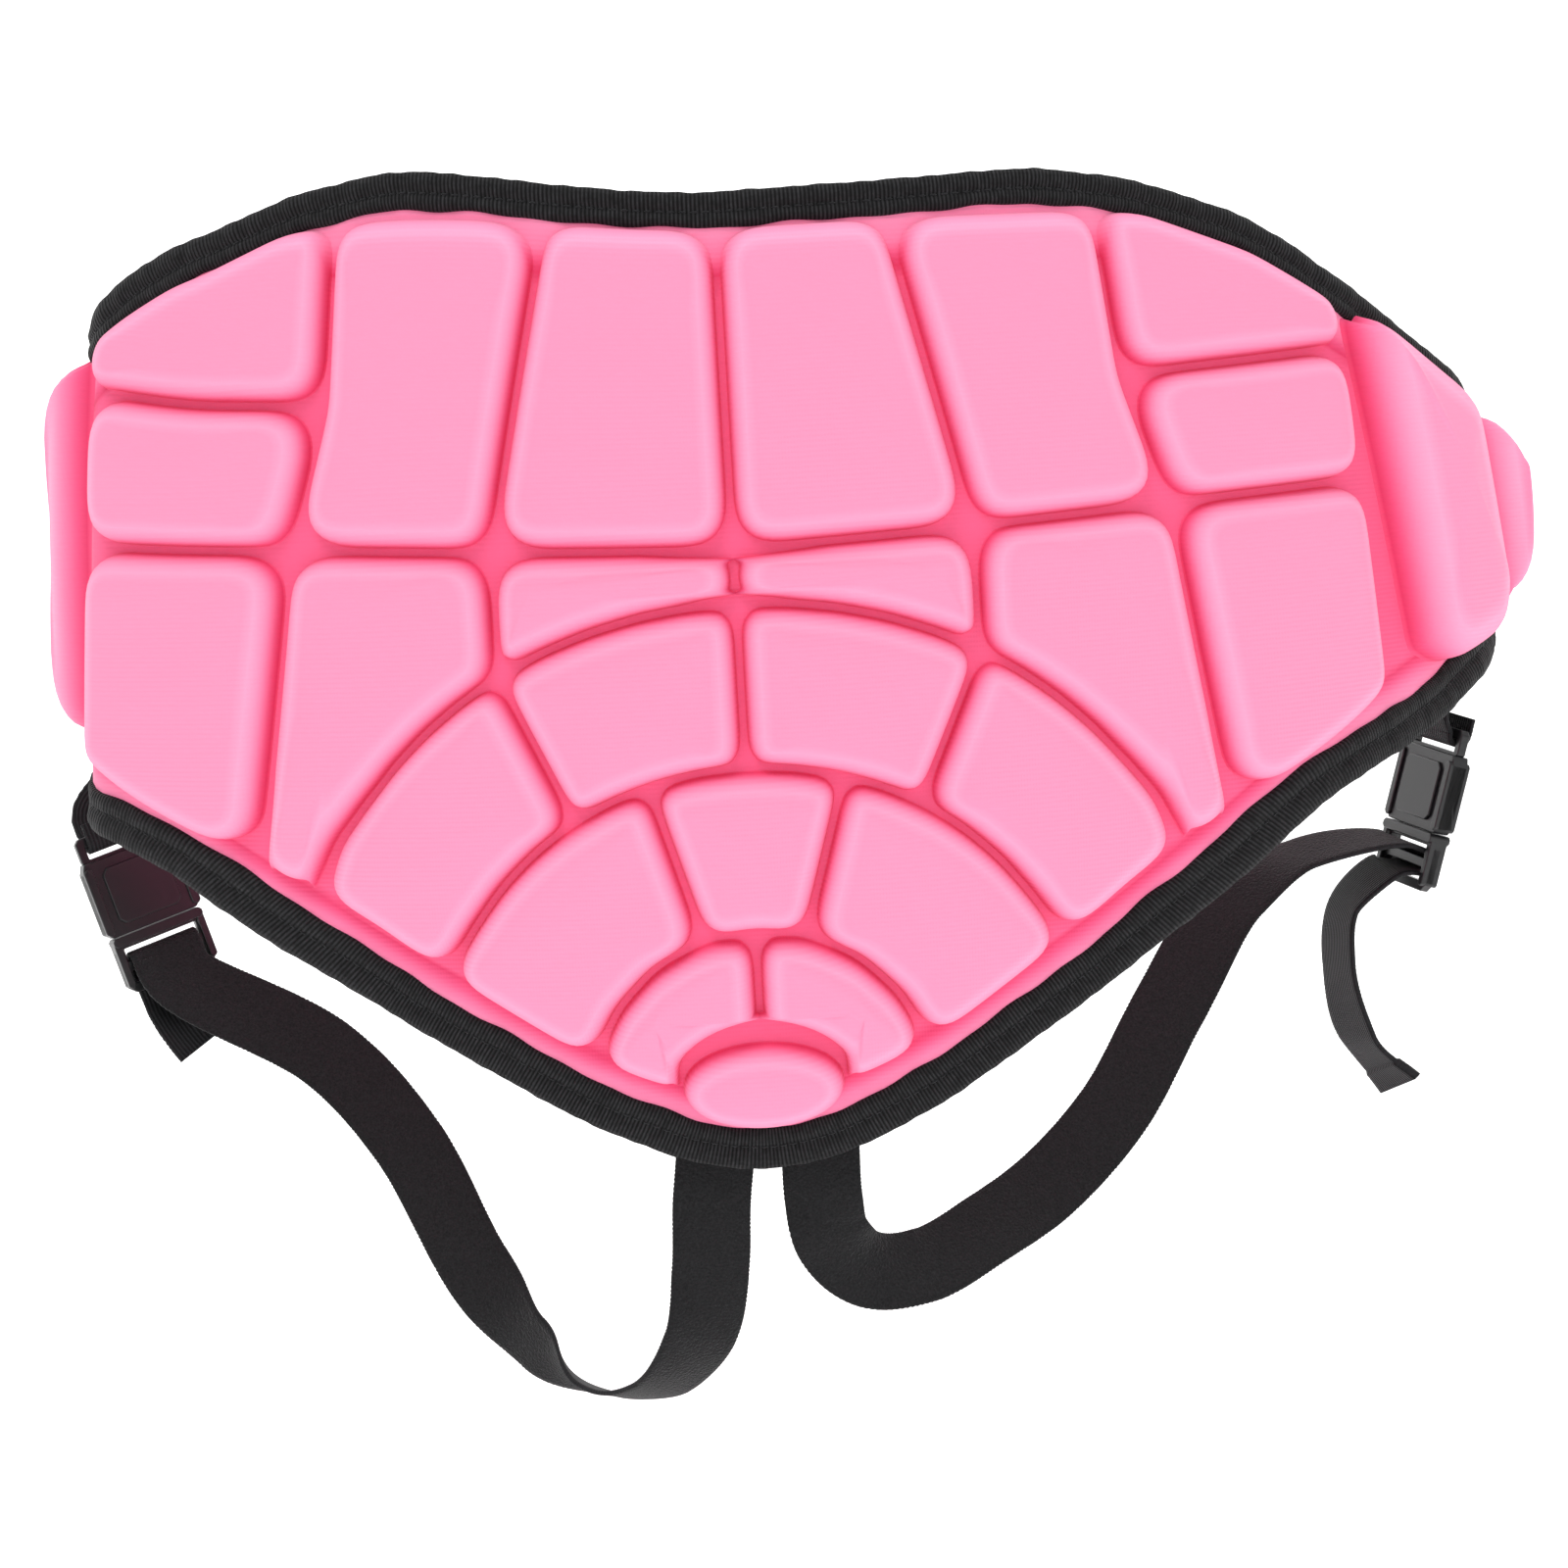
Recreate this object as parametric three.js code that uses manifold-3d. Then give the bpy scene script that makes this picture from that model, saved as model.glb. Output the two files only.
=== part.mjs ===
// Padded guard for the tailbone and hips with two leg straps and side release buckles.
// Millimetres, +Z up. The padded face looks to -Y and the wearer stands on the +Y side.
// The origin is on the inner face of the foam, on the centre line, where the long grooves cross.
import * as THREE from "three";
import Module from "manifold-3d";

const wasm = await Module();
wasm.setup();

// Foam panel, measured flat over its outer face
const foldReach = 205;
const wingReach = 296;
const topRise = 106;
const tipDrop = 198;
const foamThickness = 5;
const endCornerRadius = 14;

// How the panel bends round the wearer
const backRadius = 312;
const profileRadius = 625;
const foldWidth = 24;
const secondFoldReach = foldReach + (wingReach - foldReach) * 0.626;
const leftFoldLean = 18;
const rightFoldLean = 13;
const foldSlant = 0.12;
const leftStretch = 0.09;
const leftCornerStretch = 0.07;
const leftFoldTurn = 56;
const leftSecondTurn = 8;
const rightFoldTurn = 5;
const rightSecondTurn = 30;

// Raised pads
const padRise = 8.5;
const hipPadRise = 18;
const grooveWidth = 7;
const padCornerRadius = 9;
const hipCornerRadius = 14;
const padShoulder = 2.4;
const padRoot = 1;
const ringRise = tipDrop * 0.8535;
const outerRingRadius = foldReach * 0.7463;
const middleRingRadius = foldReach * 0.5024;
const innerRingRadius = foldReach * 0.2512;
const wedgeDepth = 16;
const tailPadWidth = 45;
const tailPadHeight = 24;
const tailGrooveWidth = 9;

// Folded tape round the edge
const tapeTopWidth = 9.6;
const tapeBottomWidth = 13;
const tapeThickness = 1.2;
const tapeGap = 0.8;
const clearance = 0.3;

// Webbing and buckles
const webbingWidth = 25;
const webbingThickness = 1.6;
const strapHold = 34;
const tabHold = 32;
const tabTail = 5;
const tabSlack = 3;
const strapSpread = 17;
const tabReach = wingReach * 0.947;
const tabInset = 4.5;
const buckleWidth = 35;
const buckleThickness = 8;
const socketLength = 36;
const clipLength = 20;
const barThickness = 3.2;
const barWidth = 3.4;
const slotWidth = 26.5;
const slotLength = 4.4;
const slotWall = 2;
const windowDepth = 4;
const windowMargin = 6;

// Step lengths of the faceted surfaces
const columnStep = 19;
const foldSteps = 8;
const rowCount = 6;
const ringStep = 9;
const cornerSteps = 2;
const ovalSteps = 12;
const endSteps = 4;
const ribbonStep = 9;
const turnSteps = 6;

// Cut edge of the foam: distance from the centre line as a share of foldReach, or past 1 the
// share of the wing beyond it, and height as a share of topRise up or of tipDrop down
const topEdgeRows = [
  { across: 0, rise: 1 },
  { across: 0.24, rise: 1.01 },
  { across: 0.473, rise: 1.03 },
  { across: 0.632, rise: 0.99 },
  { across: 0.82, rise: 0.88 },
  { across: 0.934, rise: 0.765 },
  { across: 0.98, rise: 0.7 },
  { across: 1.14, rise: 0.62 },
  { across: 1.356, rise: 0.51 },
  { across: 1.579, rise: 0.4 },
  { across: 1.822, rise: 0.29 },
  { across: 2.014, rise: 0.21 },
];
const bottomEdgeRows = [
  { across: 0, drop: 1 },
  { across: 0.074, drop: 0.99 },
  { across: 0.134, drop: 0.972 },
  { across: 0.268, drop: 0.905 },
  { across: 0.42, drop: 0.805 },
  { across: 0.566, drop: 0.712 },
  { across: 0.699, drop: 0.605 },
  { across: 0.833, drop: 0.482 },
  { across: 0.892, drop: 0.45 },
  { across: 0.971, drop: 0.42 },
  { across: 1.16, drop: 0.39 },
  { across: 1.356, drop: 0.36 },
  { across: 1.541, drop: 0.313 },
  { across: 1.719, drop: 0.278 },
  { across: 2.014, drop: 0.24 },
];

// Crossings of the groove lines: across as a share of foldReach, up as a share of topRise,
// down as a share of tipDrop
const crossings = {
  origin: { across: 0, up: 0 },
  topCentre: { across: 0, up: 0.915 },
  topInner: { across: 0.245, up: 0.92 },
  topMiddle: { across: 0.567, up: 0.92 },
  topOuter: { across: 0.65, up: 0.905 },
  topSlope: { across: 0.828, up: 0.785 },
  topCorner: { across: 0.983, up: 0.625 },
  waistInner: { across: 0.354, up: 0.025 },
  waistOuter: { across: 0.66, up: 0.054 },
  waistEnd: { across: 0.99, up: 0.083 },
  cornerFork: { across: 0.597, up: 0.43 },
  cornerEnd: { across: 0.988, up: 0.48 },
  flankFoot: { across: 0.721, down: 0.47 },
  flankEnd: { across: 0.995, down: 0.303 },
  outerRingFoot: { across: 0.65, down: 0.515 },
  middleRingFoot: { across: 0.473, down: 0.648 },
  innerRingFoot: { across: 0.256, down: 0.802 },
  tailFoot: { across: 0.12, down: 0.862 },
};

// Angles from straight up, in degrees, where the cross grooves meet the rings
const outerCrossAngle = 28.5;
const middleCrossAngle = 30.5;
const outerRingEndAngle = 56;
const middleRingEndAngle = 56;
const innerRingEndAngle = 56;
const centrePadTopAngle = 16.6;
const centrePadFootAngle = 17.5;
const tailRingEndAngle = 62;

// Hip pads: along the wing as a share of its length past the first fold, heights as above
const hipMainCorners = [
  { along: 0.02, up: 0.593 },
  { along: 0.207, up: 0.508 },
  { along: 0.424, up: 0.398 },
  { along: 0.6, up: 0.312 },
  { along: 0.66, down: 0.157 },
  { along: 0.6, down: 0.232 },
  { along: 0.2, down: 0.288 },
];
const hipFrontCorners = [
  { along: 0.615, up: 0.29 },
  { along: 0.87, up: 0.18 },
  { along: 0.9, down: 0.16 },
  { along: 0.7, down: 0.185 },
];

// Colours
const pink = 0xffa3c6;
const tapeBlack = 0x17171a;
const webbingBlack = 0x1b1b1e;
const plasticBlack = 0x202124;

const degree = Math.PI / 180;

function mix(a, b, share) {
  return a + (b - a) * share;
}

function smooth(share) {
  const q = Math.min(Math.max(share, 0), 1);
  return q * q * (3 - 2 * q);
}

// Heading of the panel in plan, in radians, at a flat distance from the centre line
function headingBeforeFold(s) {
  return (Math.sign(s) * Math.min(Math.abs(s), foldReach)) / backRadius;
}

function heading(s) {
  const reach = Math.abs(s);
  const turns = s < 0 ? [leftFoldTurn, leftSecondTurn] : [rightFoldTurn, rightSecondTurn];
  const folds = [foldReach, secondFoldReach];
  let angle = Math.abs(headingBeforeFold(s));
  folds.forEach((fold, index) => {
    angle += turns[index] * degree * smooth((reach - fold) / foldWidth + 0.5);
  });
  return Math.sign(s) * angle;
}

// Plan curve of the inner face, added up in short steps from the centre line
const planStep = 1;
const planCount = Math.ceil(wingReach * 1.3 / planStep);

function planSide(side) {
  const points = [[0, 0]];
  for (let i = 1; i <= planCount; i++) {
    const angle = heading(side * (i - 0.5) * planStep);
    const [x, y] = points[i - 1];
    points.push([x + side * Math.cos(angle) * planStep, y + side * Math.sin(angle) * planStep]);
  }
  return points;
}

const planLeft = planSide(-1);
const planRight = planSide(1);

function planPoint(s) {
  const side = s < 0 ? planLeft : planRight;
  const place = Math.min(Math.abs(s) / planStep, planCount - 1e-6);
  const index = Math.floor(place);
  const share = place - index;
  return [
    mix(side[index][0], side[index + 1][0], share),
    mix(side[index][1], side[index + 1][1], share),
  ];
}

// How far the leaning folds carry the panel outwards at flat height t
const leanStart = foldReach * 0.55;
const leanRun = foldReach * 0.4;

function foldShift(s, t) {
  const share = smooth((Math.abs(s) - leanStart) / leanRun);
  const lean = s < 0 ? leftFoldLean : rightFoldLean;
  return Math.sign(s) * share * (lean - foldSlant * t);
}

// The left half stands a little taller over the waist than the right
function stretched(s, t) {
  if (s >= 0 || t <= 0) {
    return t;
  }
  const reach = -s / foldReach;
  const corner = leftCornerStretch * smooth((reach - 0.75) / 0.25);
  return t * (1 + leftStretch * smooth(reach / 0.5) + corner);
}

// Point at flat distance s, flat height t and height h over the inner face
function onPanel(s, flatHeight, h) {
  const t = stretched(s, flatHeight);
  const angle = heading(s);
  const slope = t / profileRadius;
  const [x, y] = planPoint(s);
  const along = new THREE.Vector3(Math.cos(angle), Math.sin(angle), 0);
  const upward = new THREE.Vector3(0, Math.sin(slope), Math.cos(slope));
  const outward = along.clone().cross(upward).normalize();
  const shift = foldShift(s, t);
  const pull = headingBeforeFold(s);
  const point = new THREE.Vector3(x + shift * Math.cos(pull), y + shift * Math.sin(pull), 0);
  point.y += profileRadius * (1 - Math.cos(slope));
  point.z += profileRadius * Math.sin(slope);
  return point.addScaledVector(outward, h);
}

// Height of an edge from its rows, with the corner of the wing rounded off
function rowValue(rows, key, share) {
  const last = rows.length - 1;
  let index = 0;
  while (index < last - 1 && rows[index + 1].across < share) {
    index += 1;
  }
  const a = rows[index];
  const b = rows[index + 1];
  return mix(a[key], b[key], (share - a.across) / (b.across - a.across));
}

function cornerDrop(s) {
  const into = Math.abs(s) - (wingReach - endCornerRadius);
  if (into <= 0) {
    return 0;
  }
  const q = Math.min(into / endCornerRadius, 1);
  return endCornerRadius * (1 - Math.sqrt(1 - q * q));
}

function reachShare(s) {
  const reach = Math.abs(s);
  return reach < foldReach ? reach / foldReach : 1 + (reach - foldReach) / (wingReach - foldReach);
}

function topEdge(s) {
  return topRise * rowValue(topEdgeRows, "rise", reachShare(s)) - cornerDrop(s);
}

function bottomEdge(s) {
  return cornerDrop(s) - tipDrop * rowValue(bottomEdgeRows, "drop", reachShare(s));
}

// Columns of the foam sheet, close together in the folds and at the rounded ends
function columnPlaces() {
  const half = [0];
  const zones = [
    [foldReach - foldWidth / 2, Math.round(foldReach / columnStep)],
    [foldReach + foldWidth / 2, foldSteps],
    [secondFoldReach - foldWidth / 2, 2],
    [secondFoldReach + foldWidth / 2, foldSteps],
  ];
  zones.forEach(([end, steps]) => {
    const start = half[half.length - 1];
    for (let i = 1; i <= steps; i++) {
      half.push(mix(start, end, i / steps));
    }
  });
  const lastFlat = half[half.length - 1];
  const roundStart = Math.max(wingReach - endCornerRadius, lastFlat + 1);
  half.push(roundStart);
  for (let i = 1; i <= endSteps; i++) {
    half.push(mix(roundStart, wingReach, Math.sin((i * Math.PI) / (2 * endSteps))));
  }
  const mirrored = half.slice(1).map((s) => -s).reverse();
  return [...mirrored, ...half];
}

const columns = columnPlaces();

function geometryFrom(points, faces) {
  const geometry = new THREE.BufferGeometry();
  const numbers = points.flatMap((p) => [p.x, p.y, p.z]);
  geometry.setAttribute("position", new THREE.Float32BufferAttribute(numbers, 3));
  geometry.setIndex(faces.flat());
  return geometry;
}

function manifoldFrom(geometry) {
  return new wasm.Manifold(
    new wasm.Mesh({
      numProp: 3,
      vertProperties: new Float32Array(geometry.getAttribute("position").array),
      triVerts: new Uint32Array(geometry.index.array),
    }),
  );
}

function geometryOf(manifold) {
  const mesh = manifold.getMesh();
  const geometry = new THREE.BufferGeometry();
  const numbers = [];
  for (let i = 0; i < mesh.numVert; i++) {
    const start = i * mesh.numProp;
    numbers.push(...mesh.vertProperties.slice(start, start + 3));
  }
  geometry.setAttribute("position", new THREE.Float32BufferAttribute(numbers, 3));
  geometry.setIndex([...mesh.triVerts]);
  return geometry;
}

// The foam sheet as a closed grid of columns and rows, inner face and outer face
function foamSheet() {
  const points = [];
  const rows = rowCount + 3;
  columns.forEach((s) => {
    const low = bottomEdge(s);
    const high = topEdge(s);
    const lowBand = Math.min(tapeBottomWidth, (high - low) / 4);
    const highBand = Math.min(tapeTopWidth, (high - low) / 4);
    const heights = [low];
    for (let i = 0; i <= rowCount; i++) {
      heights.push(mix(low + lowBand, high - highBand, i / rowCount));
    }
    heights.push(high);
    heights.forEach((t) => {
      points.push(onPanel(s, t, 0), onPanel(s, t, foamThickness));
    });
  });
  const at = (column, row, face) => (column * rows + row) * 2 + face;
  const faces = [];
  const quad = (a, b, c, d) => faces.push([a, b, c], [a, c, d]);
  const lastColumn = columns.length - 1;
  for (let i = 0; i < lastColumn; i++) {
    for (let j = 0; j < rows - 1; j++) {
      quad(at(i, j, 1), at(i + 1, j, 1), at(i + 1, j + 1, 1), at(i, j + 1, 1));
      quad(at(i, j, 0), at(i, j + 1, 0), at(i + 1, j + 1, 0), at(i + 1, j, 0));
    }
    quad(at(i, 0, 0), at(i + 1, 0, 0), at(i + 1, 0, 1), at(i, 0, 1));
    quad(at(i, rows - 1, 1), at(i + 1, rows - 1, 1), at(i + 1, rows - 1, 0), at(i, rows - 1, 0));
  }
  for (let j = 0; j < rows - 1; j++) {
    quad(at(0, j, 0), at(0, j, 1), at(0, j + 1, 1), at(0, j + 1, 0));
    quad(
      at(lastColumn, j, 1),
      at(lastColumn, j, 0),
      at(lastColumn, j + 1, 0),
      at(lastColumn, j + 1, 1),
    );
  }
  return geometryFrom(points, faces);
}

// Flat outlines of the pads
const waistLift = outerRingRadius + wedgeDepth - ringRise;

function levelOf({ up, down }) {
  return down === undefined ? up * topRise : -down * tipDrop;
}

function crossing(name) {
  const lift = ["origin", "waistInner", "waistOuter", "waistEnd"].includes(name) ? waistLift : 0;
  return [crossings[name].across * foldReach, levelOf(crossings[name]) + lift];
}

function hipCorner(row) {
  return [mix(foldReach, wingReach, row.along), levelOf(row)];
}

function ringPoint(radius, degrees) {
  const angle = degrees * degree;
  return [radius * Math.sin(angle), radius * Math.cos(angle) - ringRise];
}

function ringPoints(radius, from, to) {
  const count = Math.max(1, Math.round(Math.abs(to - from) * degree * radius / (ringStep * 1.6)));
  const points = [];
  for (let i = 0; i <= count; i++) {
    points.push(ringPoint(radius, mix(from, to, i / count)));
  }
  return points;
}

function ovalPoints(halfWidth, halfHeight, from, to, count) {
  const points = [];
  for (let i = 0; i <= count; i++) {
    const angle = mix(from, to, i / count) * degree;
    points.push([halfWidth * Math.sin(angle), halfHeight * Math.cos(angle) - ringRise]);
  }
  return points;
}

function area(outline) {
  return outline.reduce((sum, [x, y], i) => {
    const [nextX, nextY] = outline[(i + 1) % outline.length];
    return sum + (x * nextY - nextX * y) / 2;
  }, 0);
}

// Moves each side of a counterclockwise outline inwards and meets the neighbours again
function inset(outline, distance) {
  const count = outline.length;
  const sides = outline.map(([x, y], i) => {
    const [nextX, nextY] = outline[(i + 1) % count];
    const length = Math.hypot(nextX - x, nextY - y);
    const ux = (nextX - x) / length;
    const uy = (nextY - y) / length;
    return { x: x - uy * distance, y: y + ux * distance, ux, uy };
  });
  return sides.map((side, i) => {
    const before = sides[(i + count - 1) % count];
    const cross = before.ux * side.uy - before.uy * side.ux;
    if (Math.abs(cross) < 1e-3) {
      return [side.x, side.y];
    }
    const share = ((side.x - before.x) * side.uy - (side.y - before.y) * side.ux) / cross;
    return [before.x + before.ux * share, before.y + before.uy * share];
  });
}

// Rounds the sharp corners of an outline with short arcs
function rounded(outline, radius) {
  const count = outline.length;
  const points = [];
  outline.forEach(([x, y], i) => {
    const [ax, ay] = outline[(i + count - 1) % count];
    const [bx, by] = outline[(i + 1) % count];
    const inLength = Math.hypot(x - ax, y - ay);
    const outLength = Math.hypot(bx - x, by - y);
    const inX = (x - ax) / inLength;
    const inY = (y - ay) / inLength;
    const outX = (bx - x) / outLength;
    const outY = (by - y) / outLength;
    const turn = Math.atan2(inX * outY - inY * outX, inX * outX + inY * outY);
    if (Math.abs(turn) < 28 * degree) {
      points.push([x, y]);
      return;
    }
    const wanted = radius * Math.tan(Math.abs(turn) / 2);
    const back = Math.min(wanted, inLength * 0.45, outLength * 0.45);
    for (let step = 0; step <= cornerSteps; step++) {
      const q = step / cornerSteps;
      const near = (1 - q) * (1 - q);
      const far = q * q;
      const middle = 2 * q * (1 - q);
      points.push([
        near * (x - inX * back) + middle * x + far * (x + outX * back),
        near * (y - inY * back) + middle * y + far * (y + outY * back),
      ]);
    }
  });
  return points;
}

// Cells between the groove lines on the right half, in flat millimetres
function padCells() {
  const c = crossing;
  const ring = ringPoints;
  const outer = outerRingRadius;
  const middle = middleRingRadius;
  const inner = innerRingRadius;
  const tail = ovalPoints(
    tailPadWidth / 2 + tailGrooveWidth / 2,
    tailPadHeight / 2 + tailGrooveWidth,
    tailRingEndAngle,
    0,
    4,
  );
  return {
    upper_inner: [c("origin"), c("waistInner"), c("topInner"), c("topCentre")],
    upper_middle: [
      c("waistInner"),
      c("waistOuter"),
      c("cornerFork"),
      c("topMiddle"),
      c("topInner"),
    ],
    upper_corner: [
      c("cornerFork"),
      c("cornerEnd"),
      c("topCorner"),
      c("topSlope"),
      c("topOuter"),
      c("topMiddle"),
    ],
    side_small: [c("waistOuter"), c("waistEnd"), c("cornerEnd"), c("cornerFork")],
    arc_wedge: [c("origin"), ...ring(outer, 0, outerCrossAngle), c("waistInner")],
    flank_inner: [
      c("waistInner"),
      ...ring(outer, outerCrossAngle, outerRingEndAngle),
      c("outerRingFoot"),
      c("flankFoot"),
      c("waistOuter"),
    ],
    flank_outer: [c("waistOuter"), c("flankFoot"), c("flankEnd"), c("waistEnd")],
    outer_ring_inner: [
      ...ring(outer, outerCrossAngle, 0),
      ...ring(middle, 0, middleCrossAngle),
    ],
    outer_ring_outer: [
      ...ring(outer, outerRingEndAngle, outerCrossAngle),
      ...ring(middle, middleCrossAngle, middleRingEndAngle),
      c("middleRingFoot"),
      c("outerRingFoot"),
    ],
    middle_ring_side: [
      ...ring(middle, middleRingEndAngle, centrePadTopAngle),
      ...ring(inner, centrePadFootAngle, innerRingEndAngle),
      c("innerRingFoot"),
      c("middleRingFoot"),
    ],
    inner_ring: [...ring(inner, innerRingEndAngle, 0), ...tail.reverse(), c("tailFoot"), c("innerRingFoot")],
    hip_main: hipMainCorners.map(hipCorner),
    hip_front: hipFrontCorners.map(hipCorner),
  };
}

function mirror(outline) {
  return outline.map(([s, t]) => [-s, t]);
}

// All pad outlines after the grooves are taken off, each with its rise
function padOutlines() {
  const pads = [];
  const finish = (cell, cornerRadius) => {
    const turned = area(cell) < 0 ? [...cell].reverse() : cell;
    return (inward) => {
      const radius = cornerRadius - inward;
      return rounded(inset(turned, grooveWidth / 2 + inward), radius);
    };
  };
  Object.entries(padCells()).forEach(([name, cell]) => {
    const hip = name.startsWith("hip");
    const rise = hip ? hipPadRise : padRise;
    const radius = hip ? hipCornerRadius : padCornerRadius;
    pads.push({ outline: finish(cell, radius), rise });
    pads.push({ outline: finish(mirror(cell), radius), rise });
  });
  const centreCell = [
    ...ringPoints(middleRingRadius, centrePadTopAngle, -centrePadTopAngle),
    ...ringPoints(innerRingRadius, -centrePadFootAngle, centrePadFootAngle),
  ];
  pads.push({ outline: finish(centreCell, padCornerRadius), rise: padRise });
  const oval = (inward) =>
    ovalPoints(tailPadWidth / 2 - inward, tailPadHeight / 2 - inward, 0, -360, ovalSteps).slice(1);
  pads.push({ outline: oval, rise: padRise });
  return pads;
}

// One pad as a closed loft from its root in the foam to its shoulder and its flat top
function padSolid({ outline, rise }) {
  const levels = [
    { inward: 0, height: foamThickness - padRoot },
    { inward: padShoulder * 0.25, height: foamThickness + rise * 0.7 },
    { inward: padShoulder, height: foamThickness + rise },
  ];
  const points = [];
  levels.forEach(({ inward, height }) => {
    outline(inward).forEach(([s, t]) => {
      points.push(onPanel(s, t, height));
    });
  });
  const count = points.length / levels.length;
  const faces = [];
  for (let level = 0; level < levels.length - 1; level++) {
    for (let i = 0; i < count; i++) {
      const next = (i + 1) % count;
      const low = level * count;
      const high = low + count;
      faces.push([low + i, low + next, high + next], [low + i, high + next, high + i]);
    }
  }
  const flat = outline(padShoulder).map(([s, t]) => new THREE.Vector2(s, t));
  const root = outline(0).map(([s, t]) => new THREE.Vector2(s, t));
  const topStart = (levels.length - 1) * count;
  THREE.ShapeUtils.triangulateShape(flat, []).forEach(([a, b, c]) => {
    faces.push([topStart + a, topStart + b, topStart + c]);
  });
  THREE.ShapeUtils.triangulateShape(root, []).forEach(([a, b, c]) => faces.push([a, c, b]));
  return manifoldFrom(geometryFrom(points, faces));
}

function paddedShield() {
  let body = manifoldFrom(foamSheet());
  padOutlines().forEach((pad) => {
    body = body.add(padSolid(pad));
  });
  return geometryOf(body);
}

// Perimeter of the foam in flat millimetres, counterclockwise, with the tape width there
function perimeter() {
  const bottom = columns.map((s) => ({ s, t: bottomEdge(s), width: tapeBottomWidth }));
  const top = columns.map((s) => ({ s, t: topEdge(s), width: tapeTopWidth }));
  const between = (a, b) => {
    const share = { s: mix(a.s, b.s, 0.5), t: mix(a.t, b.t, 0.5) };
    return { ...share, width: mix(a.width, b.width, 0.5) };
  };
  const last = columns.length - 1;
  return [
    ...bottom,
    between(bottom[last], top[last]),
    ...top.reverse(),
    between(top[last], bottom[0]),
  ];
}

// The tape as a U section swept once round the foam
function edgeTape() {
  const rim = perimeter();
  const count = rim.length;
  const skin = tapeGap + tapeThickness;
  const points = [];
  rim.forEach(({ s, t, width }, i) => {
    const before = rim[(i + count - 1) % count];
    const after = rim[(i + 1) % count];
    const inLength = Math.hypot(s - before.s, t - before.t);
    const outLength = Math.hypot(after.s - s, after.t - t);
    const a = [(s - before.s) / inLength, (t - before.t) / inLength];
    const b = [(after.s - s) / outLength, (after.t - t) / outLength];
    const half = 1 + a[0] * b[0] + a[1] * b[1];
    const inward = [-(a[1] + b[1]) / half, (a[0] + b[0]) / half];
    const section = [
      [-skin, foamThickness + skin],
      [width, foamThickness + skin],
      [width, foamThickness + tapeGap],
      [-tapeGap, foamThickness + tapeGap],
      [-tapeGap, -tapeGap],
      [width, -tapeGap],
      [width, -skin],
      [-skin, -skin],
    ];
    section.forEach(([depth, height]) => {
      points.push(onPanel(s + inward[0] * depth, t + inward[1] * depth, height));
    });
  });
  const sides = 8;
  const faces = [];
  for (let i = 0; i < count; i++) {
    const next = (i + 1) % count;
    for (let j = 0; j < sides; j++) {
      const up = (j + 1) % sides;
      const a = i * sides + j;
      const b = next * sides + j;
      const c = next * sides + up;
      const d = i * sides + up;
      faces.push([a, b, c], [a, c, d]);
    }
  }
  return geometryFrom(points, faces);
}

// A flat band through stations that give its centre and the direction across it
function ribbon(stations, width, thickness) {
  const centres = new THREE.CatmullRomCurve3(stations.map((row) => row.at), false, "centripetal");
  const last = stations.length - 1;
  const places = [];
  for (let index = 0; index < last; index++) {
    const length = stations[index].at.distanceTo(stations[index + 1].at);
    const steps = Math.max(1, Math.round(length / ribbonStep));
    for (let step = 0; step < steps; step++) {
      places.push(index + step / steps);
    }
  }
  places.push(last);
  const points = [];
  places.forEach((place) => {
    const index = Math.min(Math.floor(place), last - 1);
    const along = centres.getTangent(place / last);
    const across = stations[index].across
      .clone()
      .lerp(stations[index + 1].across, smooth(place - index));
    across.addScaledVector(along, -across.dot(along)).normalize();
    const face = along.clone().cross(across).normalize();
    const centre = centres.getPoint(place / last);
    [[1, 1], [-1, 1], [-1, -1], [1, -1]].forEach(([side, level]) => {
      points.push(
        centre
          .clone()
          .addScaledVector(across, (side * width) / 2)
          .addScaledVector(face, (level * thickness) / 2),
      );
    });
  });
  const count = places.length - 1;
  const faces = [[0, 2, 1], [0, 3, 2]];
  for (let i = 0; i < count; i++) {
    for (let j = 0; j < 4; j++) {
      const next = (j + 1) % 4;
      const low = i * 4;
      const high = low + 4;
      // Both wide faces take the same diagonal, so that a twisted band keeps its thickness
      if (j === 2) {
        faces.push([low + j, low + next, high + j], [low + next, high + next, high + j]);
      } else {
        faces.push([low + j, low + next, high + next], [low + j, high + next, high + j]);
      }
    }
  }
  const end = count * 4;
  faces.push([end, end + 1, end + 2], [end, end + 2, end + 3]);
  return geometryFrom(points, faces);
}

// A buckle frame: top is the middle of the socket's bar end, foot the end of the clip
function buckleFrame(top, foot, across) {
  const down = foot.clone().sub(top).normalize();
  const wide = across.clone().addScaledVector(down, -across.dot(down)).normalize();
  const face = wide.clone().cross(down).normalize();
  const matrix = new THREE.Matrix4().makeBasis(wide, down.clone().negate(), face.negate());
  matrix.setPosition(top);
  return matrix;
}

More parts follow.
